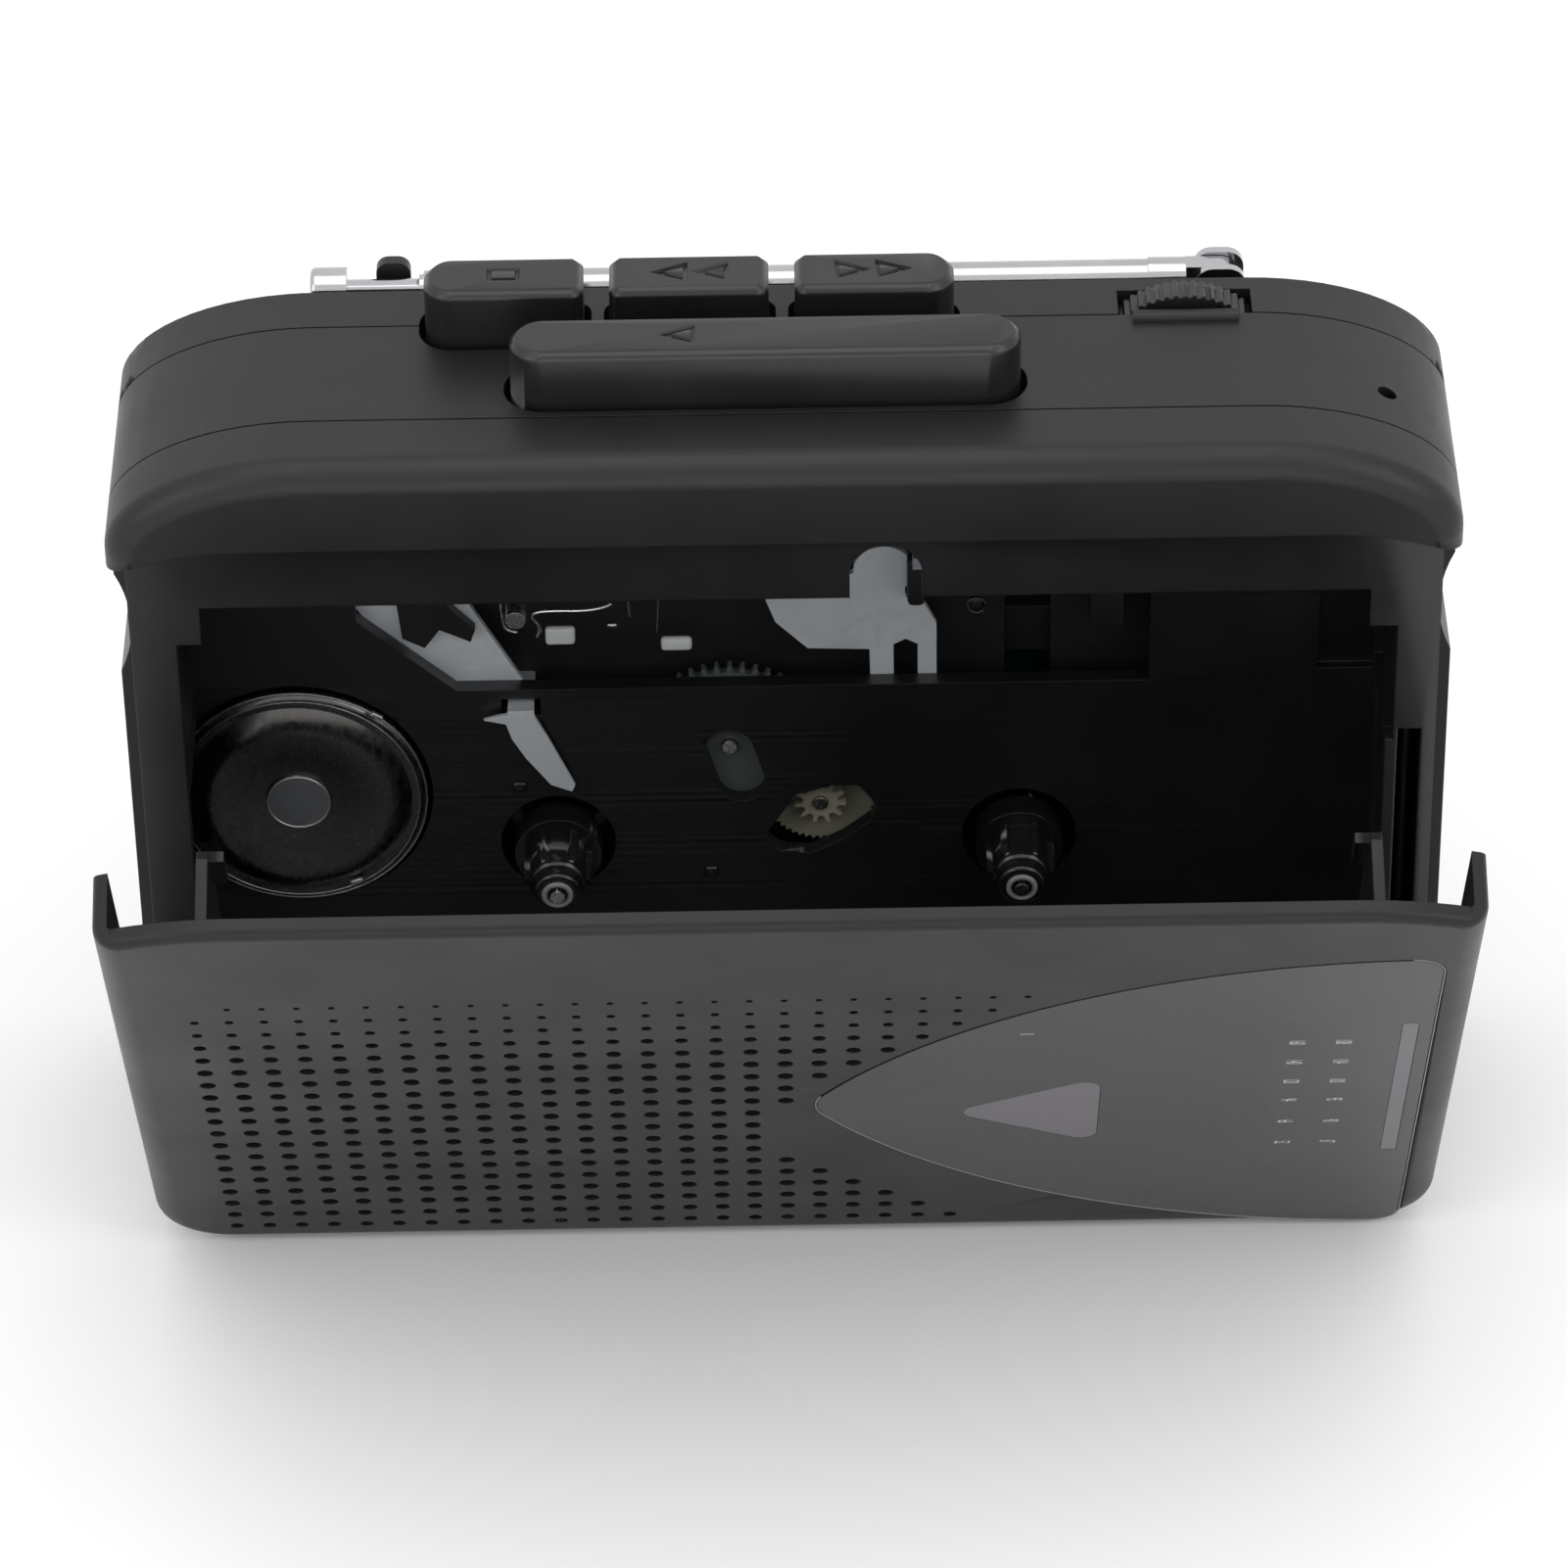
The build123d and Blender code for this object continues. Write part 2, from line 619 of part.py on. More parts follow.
# Chassis plate: steel sheet that carries the tape drive
chassis_y0 = at_depth(chassis_depth)
chassis_y1 = chassis_y0 + chassis_t
chassis_x0 = -inner_half + 0.5
chassis_x1 = half_w - 23.5
chassis_z0 = bay_z1 + bay_wall + 0.6
chassis_plate = box(chassis_x0, chassis_x1, chassis_y0, chassis_y1, chassis_z0, shelf_z)
chassis_plate -= rod_y(motor_x, motor_z, motor_r + 0.1, chassis_y0 - 1, chassis_y1 + 1)
capstan_z = below_band(capstan_drop)
chassis_plate -= rod_y(capstan_x, capstan_z, bush_r - 0.6, chassis_y0 - 1, chassis_y1 + 1)
chassis_plate -= box(20.0, 24.2, chassis_y0 - 1, chassis_y1 + 1, below_band(30.0), below_band(19.0))
parts["chassis_plate"] = chassis_plate

# Standoffs between the well floor and the chassis plate
standoffs = []
for x, rise in ((-28.5, 3.6), (-5.0, 3.6), (30.0, 3.6), (32.0, 25.6)):
    standoffs.append(rod_y(x, chassis_z0 + rise, 2.2, floor_y1, chassis_y0))
parts["chassis_standoffs"] = Compound(children=standoffs)

# Motor: a drawn steel can that shows its face in the left of the well
motor_y0 = at_depth(motor_face_depth)
motor_y1 = motor_y0 + motor_len
motor = rod_y(motor_x, motor_z, motor_r, motor_y0, motor_y1)
motor = fillet(motor.faces().sort_by(Axis.Y)[0].edges(), 1.0)
motor += rod_y(motor_x, motor_z, 2.9, motor_y0 - 0.5, motor_y0 + 1)
motor -= rod_y(motor_x, motor_z, motor_shaft_r + running_gap, motor_y1 - 6, motor_y1 + 1)
parts["motor"] = motor

# Flywheel with the capstan pressed into it, and the brass bush that the capstan turns in
flywheel_y0 = at_depth(flywheel_depth)
flywheel_y1 = flywheel_y0 + flywheel_t
groove_y0 = (flywheel_y0 + flywheel_y1) / 2 - belt_w / 2 - 0.2
groove_y1 = groove_y0 + belt_w + 0.4


def grooved_wheel(x, z, r, y0, y1):
    """A belt wheel with a square groove round its rim."""
    wheel = rod_y(x, z, r, y0, y1)
    return wheel - (rod_y(x, z, r + 1, groove_y0, groove_y1) - rod_y(x, z, r - groove, groove_y0, groove_y1))


flywheel = grooved_wheel(capstan_x, capstan_z, flywheel_r, flywheel_y0, flywheel_y1)
flywheel += rod_y(capstan_x, capstan_z, capstan_r, at_depth(capstan_tip_depth), flywheel_y0 + 1)
flywheel += rod_y(capstan_x, capstan_z, 2.6, flywheel_y0 - 0.8, flywheel_y0 + 1)
parts["flywheel"] = flywheel
bush_y1 = flywheel_y0 - 1.0
bush = rod_y(capstan_x, capstan_z, bush_r, chassis_y1, bush_y1)
bush += rod_y(capstan_x, capstan_z, bush_r - 0.65, chassis_y0 - 2.4, bush_y1)
bush -= rod_y(capstan_x, capstan_z, capstan_r + running_gap, chassis_y0 - 4, bush_y1 + 1)
parts["capstan_bush"] = bush

# Motor pulley on the motor's shaft
motor_pulley = grooved_wheel(motor_x, motor_z, pulley_r, flywheel_y0, flywheel_y1)
motor_pulley += rod_y(motor_x, motor_z, motor_shaft_r, motor_y1 - 5, flywheel_y0 + 1)
parts["motor_pulley"] = motor_pulley

# Drive belt, a square rubber loop in the two grooves
belt_gap = 0.1


def belt_loop(margin):
    """The outline round both grooves, this far outside their floors."""
    big = Pos(capstan_x, capstan_z) * Circle(flywheel_r - groove + margin)
    small = Pos(motor_x, motor_z) * Circle(pulley_r - groove + margin)
    return make_hull(big.edges() + small.edges())


belt_y0 = (flywheel_y0 + flywheel_y1) / 2 - belt_w / 2
parts["drive_belt"] = profile(belt_loop(belt_gap + belt_t) - belt_loop(belt_gap), belt_y0, belt_y0 + belt_w)

# Fixed steel posts on the chassis: two for the spindles, two for the gears, two for the head carriage
hub_tip_y = at_depth(hub_tip_depth)
gear_y0 = floor_y1 + 0.3
posts = []
for side in (-1, 1):
    posts.append(rod_y(side * hub_x, z_hub, post_r, hub_tip_y, chassis_y0))
for x, z in ((idler_x, idler_z), (stop_gear_x, stop_gear_z)):
    posts.append(rod_y(x, z, post_r, gear_y0 - 0.5, chassis_y0))
carriage_y0 = at_depth(carriage_depth)
carriage_y1 = carriage_y0 + carriage_t
stud_r = 1.0
stud_z = below_band(12.6)
studs = [(-14.0, stud_z), (-6.6, stud_z)]
for x, z in studs:
    stud = rod_y(x, z, stud_r, carriage_y0 - 0.9, chassis_y0)
    stud += rod_y(x, z, stud_r + 0.7, carriage_y0 - 0.9, carriage_y0 - 0.3)
    stud += rod_y(x, z, stud_r + 0.7, carriage_y1 + 0.3, chassis_y0)
    posts.append(stud)
parts["chassis_posts"] = Compound(children=posts)


def spindle(x):
    """A reel spindle: splined crown, collar, reel disc and a bore that turns on its post."""
    crown_y0 = hub_tip_y + 0.5
    nose = rod_y(x, z_hub, crown_r - 0.9, crown_y0, y_floor + 1)
    nose = fillet(nose.edges().filter_by(GeomType.CIRCLE).sort_by(Axis.Y)[0], 0.6)
    core = rod_y(x, z_hub, crown_r - 0.5, crown_y0 + 1.4, y_floor)
    solid = nose + chamfer(core.edges().filter_by(GeomType.CIRCLE).sort_by(Axis.Y)[0], 0.4)
    for tooth in range(crown_teeth):
        fin = box(x, x + crown_r, crown_y0 + 2.0, y_floor - 2.0, z_hub - 0.35, z_hub + 0.35)
        axis = Axis((x, 0, z_hub), (0, 1, 0))
        solid += fin.rotate(axis, 360 * tooth / crown_teeth)
    solid += rod_y(x, z_hub, crown_r + 0.9, y_floor - 2.0, y_floor + 0.6)
    solid += rod_y(x, z_hub, crown_r - 0.2, y_floor + 0.4, chassis_y0 - 0.3)
    solid += rod_y(x, z_hub, reel_r, chassis_y0 - 0.3 - reel_t, chassis_y0 - 0.3)
    return solid - rod_y(x, z_hub, post_r + running_gap, y_front, chassis_y1)


parts["takeup_spindle"] = spindle(-hub_x)
parts["supply_spindle"] = spindle(hub_x)


def gear(x, z, teeth, y0, y1, start, backlash=0.08):
    """A spur gear with straight-flanked teeth, its first tooth at the angle start."""
    pitch_r = gear_module * teeth / 2
    tip_r = pitch_r + gear_module * 0.85
    root_r = pitch_r - gear_module * 1.15
    tooth = 2 * pi / teeth
    points = []
    for number in range(teeth):
        middle = radians(start) + number * tooth
        root_half = tooth * 0.30
        tip_half = tooth * 0.13
        for offset, r in ((-root_half, root_r), (-tip_half, tip_r), (tip_half, tip_r), (root_half, root_r)):
            angle = middle + offset * (1 - backlash)
            points.append((x + r * cos(angle), z + r * sin(angle)))
    return sheet(points, y0, y1)


# Idler gear and the stop gear, whose pinion it turns
mesh_angle = degrees(asin((stop_gear_z - idler_z) / pitch_sum))
front_gear_y1 = gear_y0 + gear_t
idler_gear = gear(idler_x, idler_z, idler_teeth, gear_y0, front_gear_y1, mesh_angle)
idler_gear -= rod_y(idler_x, idler_z, post_r + running_gap, gear_y0 - 1, front_gear_y1 + 1)
parts["idler_gear"] = idler_gear
pinion_start = mesh_angle + 180 + 180 / pinion_teeth
stop_gear = gear(stop_gear_x, stop_gear_z, pinion_teeth, gear_y0 - 0.2, front_gear_y1 + 0.35, pinion_start)
rim_teeth = round(2 * pi * stop_gear_r / 0.7)
rim_points = []
for half_step in range(2 * rim_teeth):
    r = stop_gear_r - 0.4 * (half_step % 2)
    angle = pi * half_step / rim_teeth
    rim_points.append((stop_gear_x + r * cos(angle), stop_gear_z + r * sin(angle)))
stop_rim = sheet(rim_points, front_gear_y1 + 0.25, front_gear_y1 + 0.95)
stop_gear += stop_rim
stop_gear -= rod_y(stop_gear_x, stop_gear_z, post_r + running_gap, gear_y0 - 1, front_gear_y1 + 2)
parts["stop_gear"] = stop_gear

# Head carriage: steel slide that the play key pushes down, with the pinch roller's ears
carriage_z0 = below_band(14.6)
carriage_z1 = z_band + 0.4
roller_x = capstan_x - 1.0
roller_play_z = capstan_z + sqrt((roller_r + capstan_r + roller_gap) ** 2 - 1.0)
roller_z = roller_play_z + key_travel
head_carriage = sheet([(roller_x - 3.0, roller_z - 2.4), (-18.5, roller_z - 2.4), (-18.5, carriage_z0),
                       (-4.2, carriage_z0), (head_w / 2 + 1, carriage_z0 + 4), (head_w / 2 + 1, carriage_z1),
                       (roller_x - 3.0, carriage_z1)], carriage_y0, carriage_y1)
for x, z in studs:
    head_carriage -= rod_y(x, z, stud_r + 0.12, carriage_y0 - 1, carriage_y1 + 1)
    head_carriage -= box(x - stud_r - 0.12, x + stud_r + 0.12, carriage_y0 - 1, carriage_y1 + 1,
                         z, z + key_travel)
    head_carriage -= rod_y(x, z + key_travel, stud_r + 0.12, carriage_y0 - 1, carriage_y1 + 1)
roller_y = at_depth(head_mid_depth)
ear_t = 0.7
roller_pin_r = 0.8
roller_y0 = roller_y - roller_w / 2
roller_y1 = roller_y + roller_w / 2
ear_gap = 0.3
for y0 in (roller_y0 - ear_gap - ear_t, roller_y1 + ear_gap):
    head_carriage += box(roller_x - 1.6, roller_x + 1.6, y0, y0 + ear_t, roller_z - 1.6, carriage_z1)
head_carriage += box(roller_x - 1.6, roller_x + 1.6, roller_y0 - ear_gap - ear_t, carriage_y0 + 0.3,
                     carriage_z1 - ear_t, carriage_z1)
head_carriage += rod_y(roller_x, roller_z, roller_pin_r, roller_y0 - ear_gap - ear_t / 2,
                       roller_y1 + ear_gap + ear_t / 2)
parts["head_carriage"] = head_carriage

# Pinch roller: rubber tyre that presses the tape on the capstan
pinch_roller = rod_y(roller_x, roller_z, roller_r, roller_y0, roller_y1)
pinch_roller -= rod_y(roller_x, roller_z, roller_pin_r + running_gap, roller_y0 - 1, roller_y1 + 1)
parts["pinch_roller"] = pinch_roller

# Tape head: a screened block with a curved face that points down at the tape
head_z0 = z_ledge - 0.3
tape_head = box(-head_w / 2, head_w / 2, carriage_y0 - head_deep, carriage_y0, head_z0, head_z0 + head_h)
tape_head = fillet(tape_head.edges().filter_by(Axis.Y).group_by(Axis.Z)[0], 2.2)
tape_head = fillet(tape_head.edges().filter_by(Axis.Y).group_by(Axis.Z)[-1], edge_r)
parts["tape_head"] = tape_head

# Key bracket: shelf on the chassis that the four key springs stand on
shelf_z1 = shelf_z + shelf_t
row_mid_y = (row_y0 + row_y1) / 2
play_mid_y = at_depth((play_y0_depth + play_y1_depth) / 2)
play_peg_x = 15.0
peg_places = {
    "play_key": (play_peg_x, play_mid_y),
}
for key_name in row_ends:
    form = key_forms[key_name]
    peg_places[key_name] = ((form[0] + form[1]) / 2, row_mid_y)
bracket_x0 = stop_x0
bracket_x1 = stop_x0 + 2 * row_key_step + row_key_w
key_bracket = box(bracket_x0, bracket_x1, chassis_y0, at_depth(board_depth) - 0.3, shelf_z, shelf_z1)
key_bracket += box(play_peg_x - 3.6, play_peg_x + 3.6, play_mid_y - 3.2, chassis_y0 + 0.5, shelf_z, shelf_z1)
key_bracket += box(bracket_x0 + 2, bracket_x1 - 2, chassis_y1, chassis_y1 + 1.0, shelf_z - 6, shelf_z + 0.5)
key_bracket -= rod_y(capstan_x, capstan_z, bush_r + 0.3, chassis_y0 - 1, row_y1 + 2)
parts["key_bracket"] = key_bracket

# Keys, each with a lip that holds it in, a spring peg and an engraved sign
key_top_z = body_h + key_top_rise
key_low_z = body_h - wall - 2.5
lip_z1 = body_h - wall - 0.3


def arrow(x_tip, x_base, y_mid, half):
    """An engraved triangle outline that points from its base to its tip."""
    way = 1 if x_base > x_tip else -1
    outer = Polyline((x_tip, y_mid), (x_base, y_mid + half), (x_base, y_mid - half), close=True)
    base = x_base - way * mark_line
    inner = Polyline((x_tip + way * 3.2 * mark_line, y_mid), (base, y_mid + half - 2 * mark_line),
                     (base, y_mid - half + 2 * mark_line), close=True)
    sign = make_face(outer) - make_face(inner)
    return extrude(Pos(0, 0, key_top_z - mark_depth) * sign, amount=1, dir=(0, 0, 1))


def oblong(x_mid, y_mid, half_x, half_y):
    """An engraved outline of an oblong."""
    z0 = key_top_z - mark_depth
    outer = box(x_mid - half_x, x_mid + half_x, y_mid - half_y, y_mid + half_y, z0, z0 + 1)
    in_x = half_x - mark_line
    in_y = half_y - mark_line
    return outer - box(x_mid - in_x, x_mid + in_x, y_mid - in_y, y_mid + in_y, z0 - 1, z0 + 2)


sign_half = 1.5
play_sign_x = -10.9
stop_mid_x = peg_places["stop_key"][0]
forward_mid_x = peg_places["fast_forward_key"][0]
rewind_mid_x = peg_places["rewind_key"][0]
arrow_len = 3.4
signs = {
    "play_key": [arrow(play_sign_x, play_sign_x + arrow_len, play_mid_y, sign_half)],
    "stop_key": [oblong(stop_mid_x, row_mid_y, 1.45, 0.95)],
    "fast_forward_key": [arrow(forward_mid_x - arrow_len - 0.1, forward_mid_x - 0.1, row_mid_y, sign_half),
                         arrow(forward_mid_x + 0.1, forward_mid_x + arrow_len + 0.1, row_mid_y, sign_half)],
    "rewind_key": [arrow(rewind_mid_x + arrow_len + 0.1, rewind_mid_x + 0.1, row_mid_y, sign_half),
                   arrow(rewind_mid_x - 0.1, rewind_mid_x - arrow_len - 0.1, row_mid_y, sign_half)],
}
for key_name, form in key_forms.items():
    key = key_prism(*form, key_low_z, key_top_z)
    key = chamfer(key.faces().sort_by(Axis.Z)[-1].outer_wire().edges(), key_edge)
    key += key_prism(*form, key_low_z, lip_z1, key_lip)
    peg_x, peg_y = peg_places[key_name]
    key += rod_z(peg_x, peg_y, peg_r, key_low_z - peg_len, key_low_z + 0.5)
    for sign in signs[key_name]:
        key -= sign
    parts[key_name] = key

# Key springs, from the shelf up to each key
spring_room = key_low_z - shelf_z1
spring_h = spring_room - 2 * spring_wire_r - 0.1
for key_name, (peg_x, peg_y) in peg_places.items():
    spring_path = Helix(pitch=spring_h / spring_turns, height=spring_h, radius=spring_r)
    wire = Plane(origin=spring_path @ 0, z_dir=spring_path % 0) * Circle(spring_wire_r)
    spring = sweep(wire, path=spring_path)
    parts[key_name.replace("_key", "_spring")] = Pos(peg_x, peg_y, shelf_z1 + spring_wire_r + 0.05) * spring

# Levers and plates that show in the mechanism window and over the floor
plate_y0 = floor_y1 + 0.05
plate_t = 0.7


def plate(points, y0, y1):
    """A flat plate whose outline is given as (x, drop under the hood band) points."""
    return sheet([(x, below_band(drop)) for x, drop in points], y0, y1)


parts["brake_plate"] = plate([(-40.5, 16.0), (-38.8, 18.2), (-35.5, 23.2), (-33.8, 23.6), (-30.1, 27.9),
                              (-23.3, 28.0), (-28.4, 18.4), (-29.6, 15.5)], plate_y0, plate_y0 + plate_t)
parts["brake_hook"] = plate([(-35.1, 16.5), (-34.7, 20.8), (-32.7, 21.9), (-31.3, 19.9), (-28.5, 21.3),
                             (-28.1, 20.0), (-30.4, 17.4), (-30.8, 16.5)], plate_y0 - 1.2, plate_y0 - 0.1)
leaf_y0 = y_floor - 1.0
leaf = plate([(-27.6, 29.2), (-26.2, 28.8), (-23.3, 28.2), (-21.8, 31.4), (-19.5, 36.8), (-19.8, 37.5),
              (-21.7, 36.7), (-23.9, 33.6), (-25.1, 31.4), (-25.6, 29.7)], leaf_y0, leaf_y0 + 0.4)
leaf += box(-25.4, -23.0, leaf_y0, chassis_y0, lever_slot_z + 0.6, lever_slot_z + 1.2)
parts["leaf_lever"] = leaf
link_drop = 28.6
link_plate = plate([(-2.4, 16.2), (0.6, 15.8), (4.6, 15.9), (6.3, 15.1), (10.7, 15.1), (10.9, 18.0),
                    (12.6, 18.7), (13.7, 21.0), (13.7, link_drop), (12.0, link_drop), (12.0, 23.2),
                    (10.9, 22.6), (9.8, 23.2), (9.8, link_drop), (7.7, link_drop), (7.6, 23.7), (2.0, 23.5),
                    (-0.9, 20.5)], plate_y0, plate_y0 + plate_t)
link_plate += rod_y(notch_x, below_band(15.0), 2.7, plate_y0, plate_y0 + plate_t)
parts["link_plate"] = link_plate

# Circuit board behind the drive, and what stands on it
board_y0 = at_depth(board_depth)
board_y1 = board_y0 + board_t
circuit_board = box(board_x0, board_x1, board_y0, board_y1, board_z0, board_z1)
for x, z in screw_places:
    circuit_board -= rod_y(x, z, boss_r + 0.4, board_y0 - 1, board_y1 + 1)
corner_cut = box(board_x1 - 12.0, board_x1 + 1, board_y0 - 1, board_y1 + 1, board_z1 - 8.3, board_z1 + 1)
circuit_board -= corner_cut
parts["circuit_board"] = circuit_board
tuner_w = 15.0
tuner_x0 = board_x1 - tuner_w
components = [
    box(board_x0 + 12, board_x0 + 20, board_y0 - 1.6, board_y0, board_z0 + 35, board_z0 + 41),
    box(board_x0 + 36, board_x0 + 42, board_y0 - 1.4, board_y0, board_z0 + 19, board_z0 + 31),
    rod_y(board_x0 + 26, board_z0 + 13, 2.5, board_y0 - 4.5, board_y0),
    rod_y(board_x0 + 32.5, board_z0 + 13, 2.0, board_y0 - 4.0, board_y0),
    box(board_x0 + 18, board_x0 + 24, board_y0 - 4.2, board_y0, board_z0 + 25, board_z0 + 30),
    box(tuner_x0, board_x1, tuning_y0 + tuning_t + 0.6, board_y0, board_z0, board_z0 + tuner_w),
    box(inner_half - 10.0, inner_half - 0.8, board_y1, board_y1 + 4.0, knob_z - 4, knob_z + 9),
]
tuner_shaft = rod_y(tuning_x, tuning_z, 1.5, tuning_y0 + 0.4, tuning_y0 + tuning_t + 1)
components[5] = components[5] + tuner_shaft
parts["board_components"] = Compound(children=components)

# Earphone jack in the right side
jack_x1 = half_w - 0.2
jack_box_half = 2.9
earphone_jack = box(jack_x1 - jack_len - 2, inner_half - 0.4, jack_y - jack_box_half, jack_y + jack_box_half,
                    jack_z - jack_box_half, jack_z + jack_box_half)
earphone_jack += rod_x(jack_y, jack_z, jack_r + 1.0, inner_half - 1, jack_x1)
earphone_jack -= rod_x(jack_y, jack_z, jack_r, jack_x1 - jack_len, jack_x1 + 1)
parts["earphone_jack"] = earphone_jack

# Function switch knob, sunk in the right side
function_knob = box(inner_half - 0.6, half_w - 0.3, knob_y - knob_w / 2, knob_y + knob_w / 2,
                    knob_z - knob_h / 2, knob_z + knob_h / 2)
for rib in (-1.2, 0.0, 1.2):
    function_knob -= box(half_w - 0.7, half_w + 1, knob_y - 2, knob_y + 2,
                         knob_z + rib - 0.25, knob_z + rib + 0.25)
parts["function_knob"] = function_knob


def thumbwheel(x, z, r, y0, y1):
    """A flat wheel with a fine knurl round its rim."""
    points = []
    for number in range(2 * knurl_teeth):
        radius = r if number % 2 == 0 else r - knurl_depth
        for shift in (-0.3, 0.3):
            angle = pi * (number + shift) / knurl_teeth
            points.append((x + radius * cos(angle), z + radius * sin(angle)))
    return sheet(points, y0, y1)


# Volume control: fixed base and thumbwheel
base_y0 = volume_y1 + 0.1
volume_base = rod_y(volume_x, volume_z, 5.5, base_y0, board_y0)
volume_base &= box(volume_x - 9, volume_x + 9, base_y0, board_y0, volume_z - 9, body_h - wall - 0.3)
volume_base += box(volume_x - 4, volume_x + 4, base_y0, board_y0, volume_z - 9, volume_z)
volume_base += rod_y(volume_x, volume_z, 1.5, volume_y0 + 0.5, base_y0 + 0.2)
parts["volume_base"] = volume_base
volume_wheel = thumbwheel(volume_x, volume_z, volume_r, volume_y0, volume_y1)
volume_wheel -= rod_y(volume_x, volume_z, 1.5 + running_gap, volume_y0 + 0.4, volume_y1 + 1)
parts["volume_wheel"] = volume_wheel

# Tuning wheel, pointer and the rail that the pointer slides on
tuning_wheel = thumbwheel(tuning_x, tuning_z, tuning_r, tuning_y0, tuning_y0 + tuning_t)
tuning_wheel -= rod_y(tuning_x, tuning_z, 1.5 + running_gap, tuning_y0 + 0.3, tuning_y0 + tuning_t + 1)
parts["tuning_wheel"] = tuning_wheel
pointer_z = below_band(pointer_drop)
rail_y = strip_back + 1.6
tuning_pointer = box(slot_mid_x - pointer_half, slot_mid_x + pointer_half, strip_back + 0.3, rail_y + 0.9,
                     pointer_z - pointer_h / 2, pointer_z + pointer_h / 2)
tuning_pointer += box(slot_mid_x - pointer_half, slot_mid_x + pointer_half, y_ledge + 0.3, rail_y - 0.8,
                      pointer_z - pointer_h / 4, pointer_z + pointer_h / 4)
tuning_pointer -= rod_z(slot_mid_x, rail_y, rail_r + running_gap, 0, body_h)
parts["tuning_pointer"] = tuning_pointer
rail_z0 = below_band(slot_low_drop) - 2.5
rail_z1 = below_band(slot_top_drop) + 2.5
pointer_rail = rod_z(slot_mid_x, rail_y, rail_r, rail_z0, rail_z1)
for z in (rail_z0, rail_z1 - 1.0):
    pointer_rail += box(slot_mid_x - 0.2, slot_x1 - 0.05, strip_back, rail_y + 0.6, z, z + 1.0)
parts["pointer_rail"] = pointer_rail

# Microphone capsule under its hole
mic_cap_r = 2.0
mic_cap_x = mic_x - 0.9
inner_w = top_corner_w - wall
inner_h = top_corner_h - wall
mic_reach = mic_cap_x + mic_cap_r - (half_w - top_corner_w)
mic_cap_z = body_h - top_corner_h + inner_h * sqrt(1 - (mic_reach / inner_w) ** 2) - 0.25
microphone = rod_z(mic_cap_x, mic_y, mic_cap_r, mic_cap_z - 4.0, mic_cap_z)
parts["microphone"] = microphone

# Loudspeaker behind the rear grille
speaker_y1 = y_back_in - 0.1
speaker_frame = rod_y(speaker_x, speaker_z, speaker_r, speaker_y1 - 1.6, speaker_y1)
speaker_frame -= rod_y(speaker_x, speaker_z, speaker_r - 2.0, speaker_y1 - 1.0, speaker_y1 + 1)
speaker_frame -= rod_y(speaker_x, speaker_z, speaker_r - 5.5, speaker_y1 - 2.6, speaker_y1 + 1)
speaker_frame += rod_y(speaker_x, speaker_z, speaker_r - 5.0, board_y1 + 0.6, speaker_y1 - 1.5) \
    - rod_y(speaker_x, speaker_z, speaker_r - 6.5, board_y1 + 1.6, speaker_y1)
parts["speaker_frame"] = speaker_frame
cone_r = speaker_r - 2.2
cone_y0 = speaker_y1 - 0.9
dome_r = 4.0
speaker_cone = rod_y(speaker_x, speaker_z, cone_r, cone_y0, cone_y0 + 0.3)
speaker_cone += rod_y(speaker_x, speaker_z, speaker_r - 5.7, cone_y0 - 0.4, cone_y0 + 0.3)
speaker_cone += rod_y(speaker_x, speaker_z, dome_r, cone_y0 - 0.4, cone_y0 + 0.6)
parts["speaker_cone"] = speaker_cone

# Ferrite rod for the medium wave band, with its winding
ferrite_r = 2.2
ferrite_y = y_back_in - ferrite_r - 0.15
ferrite_z = z_channel - 7.0
ferrite_x1 = screw_top[0] - 6.0
ferrite = rod_x(ferrite_y, ferrite_z, ferrite_r - 0.4, ferrite_x1 - 36, ferrite_x1)
ferrite += rod_x(ferrite_y, ferrite_z, ferrite_r, ferrite_x1 - 30, ferrite_x1 - 18)
parts["ferrite_rod"] = ferrite

# Aerial: fork on the case, elbow and outer tube, inner tube, tip rod with its cap
aerial_y = at_depth(aerial_depth)
aerial_z = body_h - aerial_drop
tongue_half = tongue_t / 2
fork_cheek_t = 0.8
fork_x0 = aerial_pivot_x - 2.3
fork_x1 = aerial_pivot_x + 2.2
fork = box(fork_x0, fork_x1, aerial_y - tongue_half - fork_gap - fork_cheek_t,
           aerial_y + tongue_half + fork_gap + fork_cheek_t, z_channel, body_h - 0.2)
fork = fillet(fork.edges().filter_by(Axis.Y).group_by(Axis.Z)[-1], 1.6)
fork -= box(fork_x0 - 1, fork_x1 + 1, aerial_y - tongue_half - fork_gap, aerial_y + tongue_half + fork_gap,
            z_channel + 0.8, body_h + 1)
fork += rod_y(aerial_pivot_x, aerial_z, aerial_pin_r, aerial_y - tongue_half - fork_gap - fork_cheek_t / 2,
              aerial_y + tongue_half + fork_gap + fork_cheek_t / 2)
parts["aerial_fork"] = fork
tongue_r = 1.5
elbow = box(aerial_elbow_x, aerial_pivot_x, aerial_y - tongue_half, aerial_y + tongue_half,
            aerial_z - tongue_r, aerial_z + tongue_r)
elbow += rod_y(aerial_pivot_x, aerial_z, tongue_r, aerial_y - tongue_half, aerial_y + tongue_half)
elbow += rod_x(aerial_y, aerial_z, tube_r + 0.15, aerial_elbow_x - 0.8, aerial_elbow_x + 2.6)
elbow += rod_x(aerial_y, aerial_z, tube_r, tube_x0, aerial_elbow_x)
elbow -= rod_x(aerial_y, aerial_z, tube_bore_r, tube_x0 - 1, aerial_elbow_x - 1.0)
